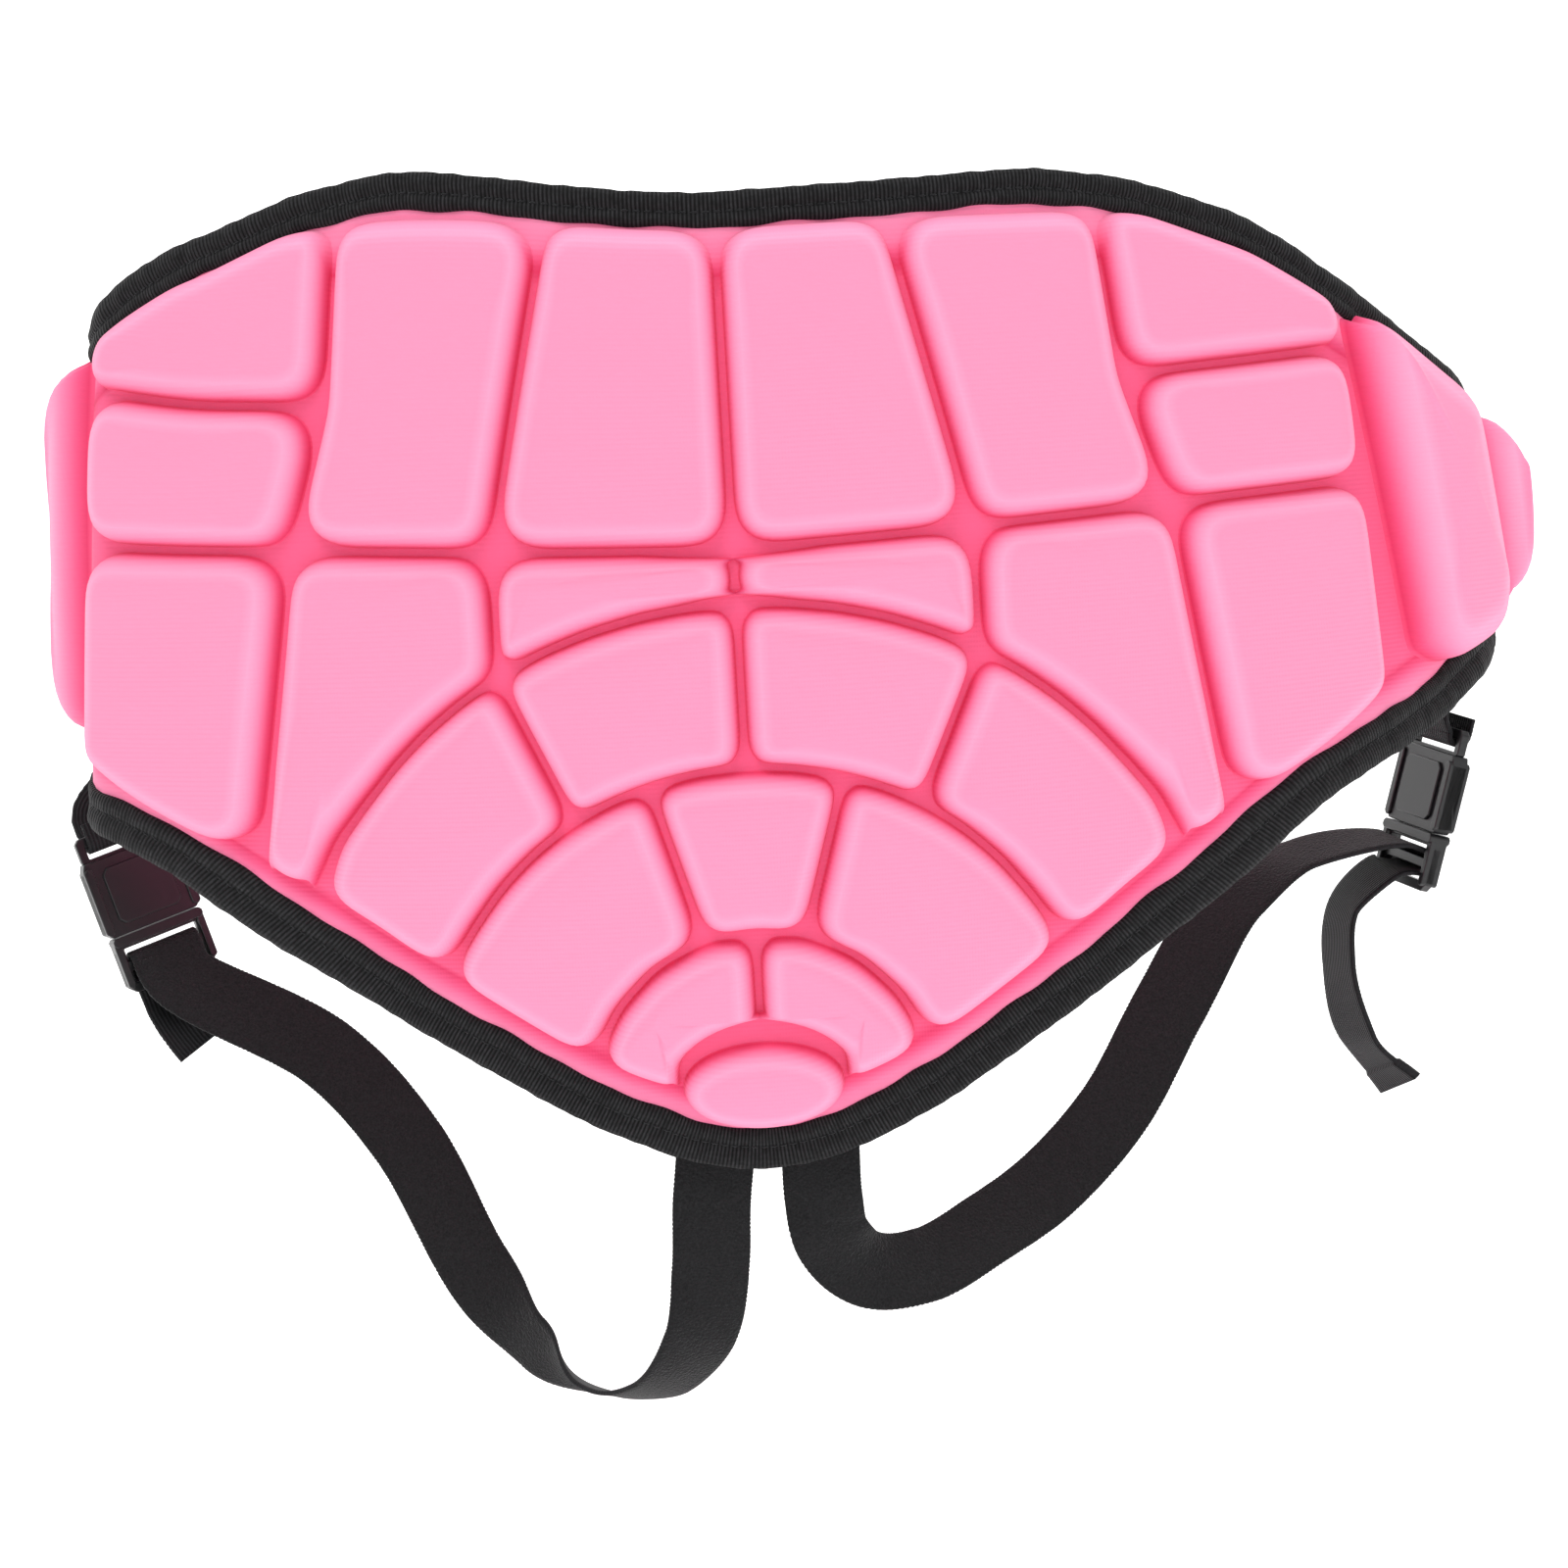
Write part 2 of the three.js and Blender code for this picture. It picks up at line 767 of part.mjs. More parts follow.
// A closed prism over an outline with rectangular holes, along local z
function plate(outline, holes, low, high) {
  const turned = area(outline) < 0 ? [...outline].reverse() : outline;
  const contour = turned.map(([x, y]) => new THREE.Vector2(x, y));
  const openings = holes.map(([x0, y0, x1, y1]) => [
    new THREE.Vector2(x0, y0),
    new THREE.Vector2(x0, y1),
    new THREE.Vector2(x1, y1),
    new THREE.Vector2(x1, y0),
  ]);
  const flat = [contour, ...openings].flat();
  const count = flat.length;
  const points = [low, high].flatMap((z) => flat.map(({ x, y }) => vector(x, y, z)));
  const faces = [];
  THREE.ShapeUtils.triangulateShape(contour, openings).forEach(([i, j, k]) => {
    faces.push([i, k, j], [count + i, count + j, count + k]);
  });
  let start = 0;
  [contour, ...openings].forEach((loop) => {
    loop.forEach((_, i) => {
      const here = start + i;
      const next = start + ((i + 1) % loop.length);
      faces.push([here, next, count + next], [here, count + next, count + here]);
    });
    start += loop.length;
  });
  return manifoldFrom(geometryFrom(points, faces));
}

// Socket body: a flat shell with rounded shoulders, side windows and a slot for the tab.
// Local x is across, local y runs up from the clip end to the tab end, z is the face.
function socketSolid() {
  const half = buckleWidth / 2;
  const neck = slotWidth / 2 + slotWall + 1;
  const slotTop = -barWidth;
  const slotFoot = slotTop - slotLength;
  const neckFoot = slotFoot - 1;
  const shoulder = neckFoot - 3;
  const outline = [
    [-neck, 0],
    [-neck, neckFoot],
    [-half, shoulder],
    [-half, -socketLength + 2],
    [-half + 2, -socketLength],
    [half - 2, -socketLength],
    [half, -socketLength + 2],
    [half, shoulder],
    [neck, neckFoot],
    [neck, 0],
  ];
  const slot = [-slotWidth / 2, slotFoot, slotWidth / 2, slotTop];
  const deep = buckleThickness / 2;
  const body = plate(outline, [slot], -deep, deep);
  const windowFoot = -socketLength + windowMargin;
  const windowTop = shoulder - windowMargin / 2;
  const cutter = plate([
    [half - windowDepth, windowFoot],
    [half + 1, windowFoot],
    [half + 1, windowTop],
    [half - windowDepth, windowTop],
  ], [], -deep * 0.45, deep * 0.45);
  const thinner = barThickness / 2;
  const wide = slotWidth / 2;
  const above = plate([
    [-wide, slotFoot - 1],
    [wide, slotFoot - 1],
    [wide, 1],
    [-wide, 1],
  ], [], thinner, deep + 1);
  return body
    .subtract(cutter)
    .subtract(cutter.rotate([0, 180, 0]))
    .subtract(above)
    .subtract(above.rotate([0, 180, 0]));
}

// Clip body: the plate below the socket with two slots and the bar between them
function clipSolid() {
  const start = -socketLength - clearance;
  const foot = start - clipLength;
  const half = buckleWidth / 2 - 1;
  const outline = [
    [-half, start],
    [-half, foot + 3],
    [-half + 3, foot],
    [half - 3, foot],
    [half, foot + 3],
    [half, start],
  ];
  const wide = slotWidth / 2;
  const lowFoot = foot + barWidth;
  const lowTop = lowFoot + slotLength;
  const highFoot = lowTop + barWidth;
  const highTop = highFoot + slotLength;
  const slots = [
    [-wide, lowFoot, wide, lowTop],
    [-wide, highFoot, wide, highTop],
  ];
  const deep = buckleThickness / 2;
  const body = plate(outline, slots, -deep, deep);
  const thinner = barThickness / 2;
  const above = plate([
    [-wide, foot - 1],
    [wide, foot - 1],
    [wide, highTop + clearance],
    [-wide, highTop + clearance],
  ], [], thinner, deep + 1);
  return body.subtract(above).subtract(above.rotate([0, 180, 0]));
}

const clipFoot = socketLength + clearance + clipLength;
const clipBar = clipFoot - barWidth * 1.5 - slotLength;

// Where each buckle hangs, shares of foldReach across, of wingReach back and of tipDrop down,
// and how the strap comes in, turns round the clip's bar and goes out, from the bar's middle
const buckleRows = {
  left: {
    top: { across: -1.06, back: 0.452, down: 0.44 },
    foot: { across: -0.98, back: 0.452, down: 0.72 },
    wide: [0.86, 0.42, 0.32],
    flip: -1,
    turn: [0, 180],
    lead: { rise: -9, face: 8.7 },
    exit: { rise: -15.5, face: -3.7 },
  },
  right: {
    top: { across: 1.165, back: 0.419, down: 0.395 },
    foot: { across: 1.088, back: 0.419, down: 0.667 },
    wide: [-0.3, 0.94, 0.1],
    flip: 1,
    turn: [90, -90],
    lead: { rise: 4.7, face: -8 },
    exit: { rise: -5.2, face: -8 },
  },
};

function placed({ across, back, down }) {
  return new THREE.Vector3(across * foldReach, back * wingReach, -down * tipDrop);
}

function frameOf(side) {
  const { top, foot, wide } = buckleRows[side];
  return buckleFrame(placed(top), placed(foot), new THREE.Vector3(...wide));
}

function vector(x, y, z) {
  return new THREE.Vector3(x, y, z);
}

// Station on the wing or tip: flat place and height over the inner face
function panelStation(s, t, h, lead) {
  const across = onPanel(s + lead, t, h).sub(onPanel(s - lead, t, h)).normalize();
  return { at: onPanel(s, t, h), across };
}

function frameStation(matrix, y, z, flip) {
  const across = vector(flip, 0, 0).transformDirection(matrix);
  return { at: vector(0, y, z).applyMatrix4(matrix), across };
}

// Stations of a turn round a bar between two angles in degrees from the buckle's face
const turnRadius = Math.hypot(barWidth, barThickness) / 2 + clearance * 2 + webbingThickness / 2;

function roundBar(matrix, bar, [from, to], flip) {
  const stations = [];
  for (let i = 0; i <= turnSteps; i++) {
    const angle = mix(from, to, i / turnSteps) * degree;
    const y = bar + turnRadius * Math.sin(angle);
    const z = turnRadius * Math.cos(angle);
    stations.push(frameStation(matrix, y, z, flip));
  }
  return stations;
}

// Short webbing tab: sewn inside the wing, down round the socket's bar and up again
function buckleTab(side, sign) {
  const matrix = frameOf(side);
  const s = sign * tabReach;
  const low = bottomEdge(s);
  const inside = -tapeGap - clearance - tapeThickness - webbingThickness - tabInset;
  const { flip } = buckleRows[side];
  const stations = [
    panelStation(s, low + tabHold, inside, 1),
    panelStation(s, low + tabHold / 2, inside, 1),
    panelStation(s, low - tabHold / 4, inside, 1),
    frameStation(matrix, barWidth, -turnRadius - tabSlack, flip),
    ...roundBar(matrix, -barWidth / 2, [180, 360], flip),
    frameStation(matrix, tabTail / 2, turnRadius, flip),
    frameStation(matrix, tabTail, turnRadius, flip),
  ];
  return ribbon(stations, webbingWidth, webbingThickness);
}

// Leg strap stations: shares of foldReach across, of wingReach back and of tipDrop down,
// with the direction across the webbing
const leftStrapRows = [
  { across: -0.093, back: 0.121, down: 1.06, wide: [1, 0, 0.02] },
  { across: -0.1, back: 0.123, down: 1.16, wide: [0.99, 0.1, -0.05] },
  { across: -0.122, back: 0.135, down: 1.28, wide: [0.93, 0.33, -0.15] },
  { across: -0.195, back: 0.185, down: 1.385, wide: [0.68, 0.66, -0.3] },
  { across: -0.3, back: 0.255, down: 1.41, wide: [0.15, 0.93, -0.3] },
  { across: -0.405, back: 0.31, down: 1.345, wide: [-0.5, 0.6, -0.5] },
  { across: -0.495, back: 0.35, down: 1.225, wide: [-0.85, 0.1, -0.5] },
  { across: -0.6, back: 0.39, down: 1.01, wide: [-0.78, -0.1, -0.6] },
  { across: -0.73, back: 0.42, down: 0.855, wide: [-0.76, -0.3, -0.58] },
];
const rightStrapRows = [
  { across: 0.082, back: 0.121, down: 1.06, wide: [1, 0, 0] },
  { across: 0.093, back: 0.127, down: 1.13, wide: [0.95, 0.2, 0.15] },
  { across: 0.148, back: 0.156, down: 1.195, wide: [0.7, 0.55, 0.4] },
  { across: 0.241, back: 0.19, down: 1.205, wide: [0.3, 0.6, 0.7] },
  { across: 0.343, back: 0.226, down: 1.165, wide: [-0.3, 0.55, 0.75] },
  { across: 0.45, back: 0.267, down: 1.11, wide: [-0.6, 0.3, 0.65] },
  { across: 0.57, back: 0.308, down: 1, wide: [-0.8, 0.15, 0.5] },
  { across: 0.675, back: 0.349, down: 0.84, wide: [-0.9, 0.2, 0.3] },
  { across: 0.8, back: 0.39, down: 0.665, wide: [-0.6, 0.6, 0.4] },
  { across: 0.925, back: 0.421, down: 0.605, wide: [-0.3, 0.93, 0.2] },
];
const leftTailRows = [
  { across: -0.96, back: 0.44, down: 0.775, wide: [-0.85, -0.35, -0.25] },
  { across: -0.925, back: 0.435, down: 0.825, wide: [-0.93, -0.25, -0.1] },
];
const rightTailRows = [
  { across: 0.99, back: 0.426, down: 0.7, wide: [-0.2, 0.97, 0.05] },
  { across: 0.975, back: 0.421, down: 0.8, wide: [-0.25, 0.95, 0.05] },
  { across: 1.0, back: 0.416, down: 0.93, wide: [-0.4, 0.88, 0.1] },
  { across: 1.07, back: 0.411, down: 1.02, wide: [-0.6, 0.75, 0.1] },
];

function rowStation(row) {
  return { at: placed(row), across: vector(...row.wide).normalize() };
}

// Leg strap: sewn inside the tip, a loop under the panel, up behind the clip, round its bar
// and down again as the free tail
function legStrap(side, sign, rows, tailRows) {
  const matrix = frameOf(side);
  const start = sign * strapSpread;
  const low = bottomEdge(start);
  const inside = -tapeGap - clearance * 2 - tapeThickness - webbingThickness;
  const { flip, turn, lead, exit } = buckleRows[side];
  const stations = [
    panelStation(start, low + strapHold, inside, 1),
    panelStation(start, low + strapHold / 2, inside, 1),
    panelStation(start, low, inside, 1),
    ...rows.map(rowStation),
    frameStation(matrix, -clipBar + lead.rise, lead.face, flip),
    ...roundBar(matrix, -clipBar, turn, flip),
    frameStation(matrix, -clipBar + exit.rise, exit.face, flip),
    ...tailRows.map(rowStation),
  ];
  return ribbon(stations, webbingWidth, webbingThickness);
}

const assembly = new THREE.Group();
assembly.name = "tailbone_protector";

function addPart(name, geometry, colour, roughness) {
  const material = new THREE.MeshStandardMaterial({ color: colour, roughness, metalness: 0 });
  geometry.computeVertexNormals();
  const mesh = new THREE.Mesh(geometry, material);
  mesh.name = name;
  assembly.add(mesh);
}

addPart("padded_shield", paddedShield(), pink, 0.85);
addPart("edge_binding", edgeTape(), tapeBlack, 0.8);
["left", "right"].forEach((side) => {
  const sign = side === "left" ? -1 : 1;
  const rows = side === "left" ? leftStrapRows : rightStrapRows;
  const tailRows = side === "left" ? leftTailRows : rightTailRows;
  const matrix = frameOf(side);
  const socket = geometryOf(socketSolid()).applyMatrix4(matrix);
  const clip = geometryOf(clipSolid()).applyMatrix4(matrix);
  addPart(side + "_buckle_socket", socket, plasticBlack, 0.35);
  addPart(side + "_buckle_clip", clip, plasticBlack, 0.35);
  addPart(side + "_buckle_tab", buckleTab(side, sign), webbingBlack, 0.9);
  addPart(side + "_leg_strap", legStrap(side, sign, rows, tailRows), webbingBlack, 0.9);
});

export default assembly;
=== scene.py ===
# Padded tailbone and hip guard with leg straps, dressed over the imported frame.
# Lengths are named in millimetres and turned into metres where a mesh is made.
import math

import bpy
import numpy as np
from mathutils import Matrix, Vector
from mathutils.geometry import tessellate_polygon


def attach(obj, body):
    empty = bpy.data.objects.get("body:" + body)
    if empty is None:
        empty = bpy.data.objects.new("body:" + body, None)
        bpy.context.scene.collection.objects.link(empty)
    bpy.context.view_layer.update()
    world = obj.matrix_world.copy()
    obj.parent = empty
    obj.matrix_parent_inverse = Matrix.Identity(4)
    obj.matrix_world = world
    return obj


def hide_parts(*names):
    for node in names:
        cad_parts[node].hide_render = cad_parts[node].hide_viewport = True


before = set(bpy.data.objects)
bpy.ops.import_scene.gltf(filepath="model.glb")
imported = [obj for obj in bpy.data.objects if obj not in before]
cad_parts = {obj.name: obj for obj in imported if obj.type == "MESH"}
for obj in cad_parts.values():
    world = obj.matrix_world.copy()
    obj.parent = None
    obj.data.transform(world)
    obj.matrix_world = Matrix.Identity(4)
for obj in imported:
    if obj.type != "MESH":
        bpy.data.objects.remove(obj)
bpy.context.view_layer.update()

MM = 0.001

# Foam panel, measured flat over its outer face
FOLD_REACH = 205
WING_REACH = 296
TOP_RISE = 106
TIP_DROP = 198
FOAM = 5
END_CORNER = 14

# How the panel bends round the wearer
BACK_RADIUS = 312
PROFILE_RADIUS = 625
FOLD_WIDTH = 24
SECOND_FOLD_REACH = FOLD_REACH + (WING_REACH - FOLD_REACH) * 0.626
LEFT_FOLD_LEAN = 18
RIGHT_FOLD_LEAN = 13
FOLD_SLANT = 0.12
SHIFT_START = 0.55
SHIFT_RUN = 0.4
LEFT_STRETCH = 0.09
LEFT_CORNER_STRETCH = 0.07
FOLD_TURNS = {"left": (56, 8), "right": (5, 30)}

# Raised pads
PAD_RISE = 8.5
HIP_PAD_RISE = 18
GROOVE = 7
PAD_CORNER = 9
HIP_CORNER = 14
RING_RISE = TIP_DROP * 0.8535
OUTER_RING = FOLD_REACH * 0.7463
MIDDLE_RING = FOLD_REACH * 0.5024
INNER_RING = FOLD_REACH * 0.2512
TAIL_PAD_WIDTH = 45
TAIL_PAD_HEIGHT = 24
TAIL_GROOVE = 9

# Folded tape round the edge
TAPE_TOP = 9.6
TAPE_BOTTOM = 13
TAPE_SKIN = 1.8

# Webbing and buckles
WEBBING_WIDTH = 25
WEBBING = 1.6
STRAP_SPREAD = 17
TAB_REACH = WING_REACH * 0.947
STRAP_HOLD = 34
TAB_HOLD = 32
TAB_TAIL = 5
TAB_SLACK = 3
TAB_INSET = 4.5
CLEARANCE = 0.3
TAPE_GAP = 0.8
TAPE_THICKNESS = 1.2
BUCKLE_WIDTH = 35
BUCKLE_THICKNESS = 8
SOCKET_LENGTH = 36
CLIP_LENGTH = 20
BAR_THICKNESS = 3.2
BAR_WIDTH = 3.4
SLOT_WIDTH = 26.5
SLOT_LENGTH = 4.4

# Paler band of the skin along the tape, where the painted groove shade is lifted: share of the pads'
# colour, width and fade
RIM_LIFT = 0.66
RIM_BAND = 15
RIM_FADE = 12

# Fineness of the dressed surfaces
PLAN_STEP = 0.5
PLAN_OVERRUN = 1.1
SHEET_STEP = 4
PAD_STEP = 2.6
TAPE_STEP = 2
STITCH_STEP = 3.4
STITCH_SHARE = 0.72
STITCH_GIRTH = 0.32
STITCH_RISE = 0.95
STITCH_DEPTH = 0.52
RIBBON_STEP = 0.7
TURN_STEPS = 6
CORNER_STEPS = 6
SHARP_TURN = 28
SIDE_SHARE = 0.45
OUTLINE_PASSES = 4
TAIL_STEPS = 5
RING_STEP = 14.4

# Cut edge of the foam: across as a share of FOLD_REACH, past 1 with the share of the wing beyond,
# and height as a share of TOP_RISE or TIP_DROP
TOP_EDGE = [
    (0, 1),
    (0.24, 1.01),
    (0.473, 1.03),
    (0.632, 0.99),
    (0.82, 0.88),
    (0.934, 0.765),
    (0.98, 0.7),
    (1.14, 0.62),
    (1.356, 0.51),
    (1.579, 0.4),
    (1.822, 0.29),
    (2.014, 0.21),
]
BOTTOM_EDGE = [
    (0, 1),
    (0.074, 0.99),
    (0.134, 0.972),
    (0.268, 0.905),
    (0.42, 0.805),
    (0.566, 0.712),
    (0.699, 0.605),
    (0.833, 0.482),
    (0.892, 0.45),
    (0.971, 0.42),
    (1.16, 0.39),
    (1.356, 0.36),
    (1.541, 0.313),
    (1.719, 0.278),
    (2.014, 0.24),
]

# Crossings of the groove lines: across, then a share of TOP_RISE if positive or of TIP_DROP if not
CROSSINGS = {
    "origin": (0, 0),
    "top_centre": (0, 0.915),
    "top_inner": (0.245, 0.92),
    "top_middle": (0.567, 0.92),
    "top_outer": (0.65, 0.905),
    "top_slope": (0.828, 0.785),
    "top_corner": (0.983, 0.625),
    "waist_inner": (0.354, 0.025),
    "waist_outer": (0.66, 0.054),
    "waist_end": (0.99, 0.083),
    "corner_fork": (0.597, 0.43),
    "corner_end": (0.988, 0.48),
    "flank_foot": (0.721, -0.47),
    "flank_end": (0.995, -0.303),
    "outer_ring_foot": (0.65, -0.515),
    "middle_ring_foot": (0.473, -0.648),
    "inner_ring_foot": (0.256, -0.802),
    "tail_foot": (0.12, -0.862),
}
# Hip pads: along the wing as a share of its length past the first fold, heights as above
HIP_MAIN = [
    (0.02, 0.593),
    (0.207, 0.508),
    (0.424, 0.398),
    (0.6, 0.312),
    (0.66, -0.157),
    (0.6, -0.232),
    (0.2, -0.288),
]
HIP_FRONT = [(0.615, 0.29), (0.87, 0.18), (0.9, -0.16), (0.7, -0.185)]

# Angles from straight up, in degrees, where the cross grooves meet the rings
OUTER_CROSS = 28.5
MIDDLE_CROSS = 30.5
RING_END = 56
CENTRE_PAD_TOP = 16.6
CENTRE_PAD_FOOT = 17.5
TAIL_RING_END = 62

# Buckles and straps: across as a share of FOLD_REACH, back of WING_REACH, down of TIP_DROP
BUCKLES = {
    "left": {
        "top": (-1.06, 0.452, 0.44),
        "foot": (-0.98, 0.452, 0.72),
        "wide": (0.86, 0.42, 0.32),
        "flip": -1,
        "turn": (0, 180),
        "lead": (-9, 8.7),
        "exit": (-15.5, -3.7),
    },
    "right": {
        "top": (1.165, 0.419, 0.395),
        "foot": (1.088, 0.419, 0.667),
        "wide": (-0.3, 0.94, 0.1),
        "flip": 1,
        "turn": (90, -90),
        "lead": (4.7, -8),
        "exit": (-5.2, -8),
    },
}
STRAPS = {
    "left": [
        ((-0.093, 0.121, 1.06), (1, 0, 0.02)),
        ((-0.1, 0.123, 1.16), (0.99, 0.1, -0.05)),
        ((-0.122, 0.135, 1.28), (0.93, 0.33, -0.15)),
        ((-0.195, 0.185, 1.385), (0.68, 0.66, -0.3)),
        ((-0.3, 0.255, 1.41), (0.15, 0.93, -0.3)),
        ((-0.405, 0.31, 1.345), (-0.5, 0.6, -0.5)),
        ((-0.495, 0.35, 1.225), (-0.85, 0.1, -0.5)),
        ((-0.6, 0.39, 1.01), (-0.78, -0.1, -0.6)),
        ((-0.73, 0.42, 0.855), (-0.76, -0.3, -0.58)),
    ],
    "right": [
        ((0.082, 0.121, 1.06), (1, 0, 0)),
        ((0.093, 0.127, 1.13), (0.95, 0.2, 0.15)),
        ((0.148, 0.156, 1.195), (0.7, 0.55, 0.4)),
        ((0.241, 0.19, 1.205), (0.3, 0.6, 0.7)),
        ((0.343, 0.226, 1.165), (-0.3, 0.55, 0.75)),
        ((0.45, 0.267, 1.11), (-0.6, 0.3, 0.65)),
        ((0.57, 0.308, 1), (-0.8, 0.15, 0.5)),
        ((0.675, 0.349, 0.84), (-0.9, 0.2, 0.3)),
        ((0.8, 0.39, 0.665), (-0.6, 0.6, 0.4)),
        ((0.925, 0.421, 0.605), (-0.3, 0.93, 0.2)),
    ],
}
TAILS = {
    "left": [
        ((-0.96, 0.44, 0.775), (-0.85, -0.35, -0.25)),
        ((-0.925, 0.435, 0.825), (-0.93, -0.25, -0.1)),
    ],
    "right": [
        ((0.99, 0.426, 0.7), (-0.2, 0.97, 0.05)),
        ((0.975, 0.421, 0.8), (-0.25, 0.95, 0.05)),
        ((1.0, 0.416, 0.93), (-0.4, 0.88, 0.1)),
        ((1.07, 0.411, 1.02), (-0.6, 0.75, 0.1)),
    ],
}


# The bent panel
def smooth(share):
    q = np.clip(share, 0, 1)
    return q * q * (3 - 2 * q)


def heading_before_fold(s):
    return np.sign(s) * np.minimum(np.abs(s), FOLD_REACH) / BACK_RADIUS


def fold_shift(s, t):
    """How far the leaning folds carry the panel outwards at flat height t."""
    share = smooth((np.abs(s) / FOLD_REACH - SHIFT_START) / SHIFT_RUN)
    lean = np.where(s < 0, LEFT_FOLD_LEAN, RIGHT_FOLD_LEAN)
    return np.sign(s) * share * (lean - FOLD_SLANT * t)


def heading(s):
    reach = np.abs(s)
    angle = np.abs(heading_before_fold(s))
    for index, fold in enumerate((FOLD_REACH, SECOND_FOLD_REACH)):
        left, right = FOLD_TURNS["left"][index], FOLD_TURNS["right"][index]
        turn = np.radians(np.where(s < 0, left, right))
        angle = angle + turn * smooth((reach - fold) / FOLD_WIDTH + 0.5)
    return np.sign(s) * angle


def plan_curve():
    """Plan curve of the inner face, added up in short steps from the centre line."""
    step = PLAN_STEP
    places = np.arange(-WING_REACH * PLAN_OVERRUN, WING_REACH * PLAN_OVERRUN, step)
    places = places - places[np.argmin(np.abs(places))]
    angles = heading(places)
    middle = (angles[1:] + angles[:-1]) / 2
    x = np.concatenate([[0], np.cumsum(np.cos(middle) * step)])
    y = np.concatenate([[0], np.cumsum(np.sin(middle) * step)])
    zero = np.argmin(np.abs(places))
    return places, x - x[zero], y - y[zero]


PLAN = plan_curve()


def stretched(s, t):
    """The left half stands a little taller over the waist than the right."""
    reach = -s / FOLD_REACH
    corner = LEFT_CORNER_STRETCH * smooth((reach - 0.75) / 0.25)
    gain = 1 + LEFT_STRETCH * smooth(reach / 0.5) + corner
    return np.where((s < 0) & (t > 0), t * gain, t)


def on_panel(s, t, h):
    """Points in millimetres at flat place s, t and height h over the inner face."""
    s, t, h = np.broadcast_arrays(*(np.asarray(v, float) for v in (s, t, h)))
    t = stretched(s, t)
    angle = heading(s)
    slope = t / PROFILE_RADIUS
    x = np.interp(s, PLAN[0], PLAN[1])
    y = np.interp(s, PLAN[0], PLAN[2])
    zero = np.zeros_like(s)
    along = np.stack([np.cos(angle), np.sin(angle), zero], -1)
    upward = np.stack([zero, np.sin(slope), np.cos(slope)], -1)
    outward = np.cross(along, upward)
    outward /= np.linalg.norm(outward, axis=-1, keepdims=True)
    shift, pull = fold_shift(s, t), heading_before_fold(s)
    x = x + shift * np.cos(pull)
    y = y + shift * np.sin(pull) + PROFILE_RADIUS * (1 - np.cos(slope))
    point = np.stack([x, y, PROFILE_RADIUS * np.sin(slope)], -1)
    return point + outward * h[..., None]


def corner_drop(s):
    into = np.clip((np.abs(s) - (WING_REACH - END_CORNER)) / END_CORNER, 0, 1)
    return END_CORNER * (1 - np.sqrt(1 - into * into))


def edge_height(s, rows, scale):
    reach = np.abs(s)
    beyond = 1 + (reach - FOLD_REACH) / (WING_REACH - FOLD_REACH)
    share = np.where(reach < FOLD_REACH, reach / FOLD_REACH, beyond)
    return scale * np.interp(share, [r[0] for r in rows], [r[1] for r in rows])


def soften(function, s, width=9):
    """Mean of an edge over a short stretch, so that the polyline reads as a curve."""
    offsets = np.linspace(-width, width, 7)
    weights = 1.2 - np.abs(offsets) / width
    total = sum(w * function(np.clip(s + o, -WING_REACH, WING_REACH)) for o, w in zip(offsets, weights))
    return total / weights.sum()


def top_edge(s):
    return soften(lambda q: edge_height(q, TOP_EDGE, TOP_RISE), s) - corner_drop(s)


def bottom_edge(s):
    return corner_drop(s) - soften(lambda q: edge_height(q, BOTTOM_EDGE, TIP_DROP), s)


# Flat outlines of the pads
def level_of(share):
    return share * (TOP_RISE if share > 0 else TIP_DROP)


def crossing(place):
    across, level = CROSSINGS[place]
    return (across * FOLD_REACH, level_of(level))


def hip_corner(place):
    along, level = place
    return (FOLD_REACH + along * (WING_REACH - FOLD_REACH), level_of(level))


def ring(radius, start, end):
    count = max(1, round(abs(end - start) * math.pi / 180 * radius / RING_STEP))
    angles = np.radians(np.linspace(start, end, count + 1))
    return [(radius * math.sin(a), radius * math.cos(a) - RING_RISE) for a in angles]


def oval(half_width, half_height, start, end, count):
    angles = np.radians(np.linspace(start, end, count + 1))
    return [(half_width * math.sin(a), half_height * math.cos(a) - RING_RISE) for a in angles]


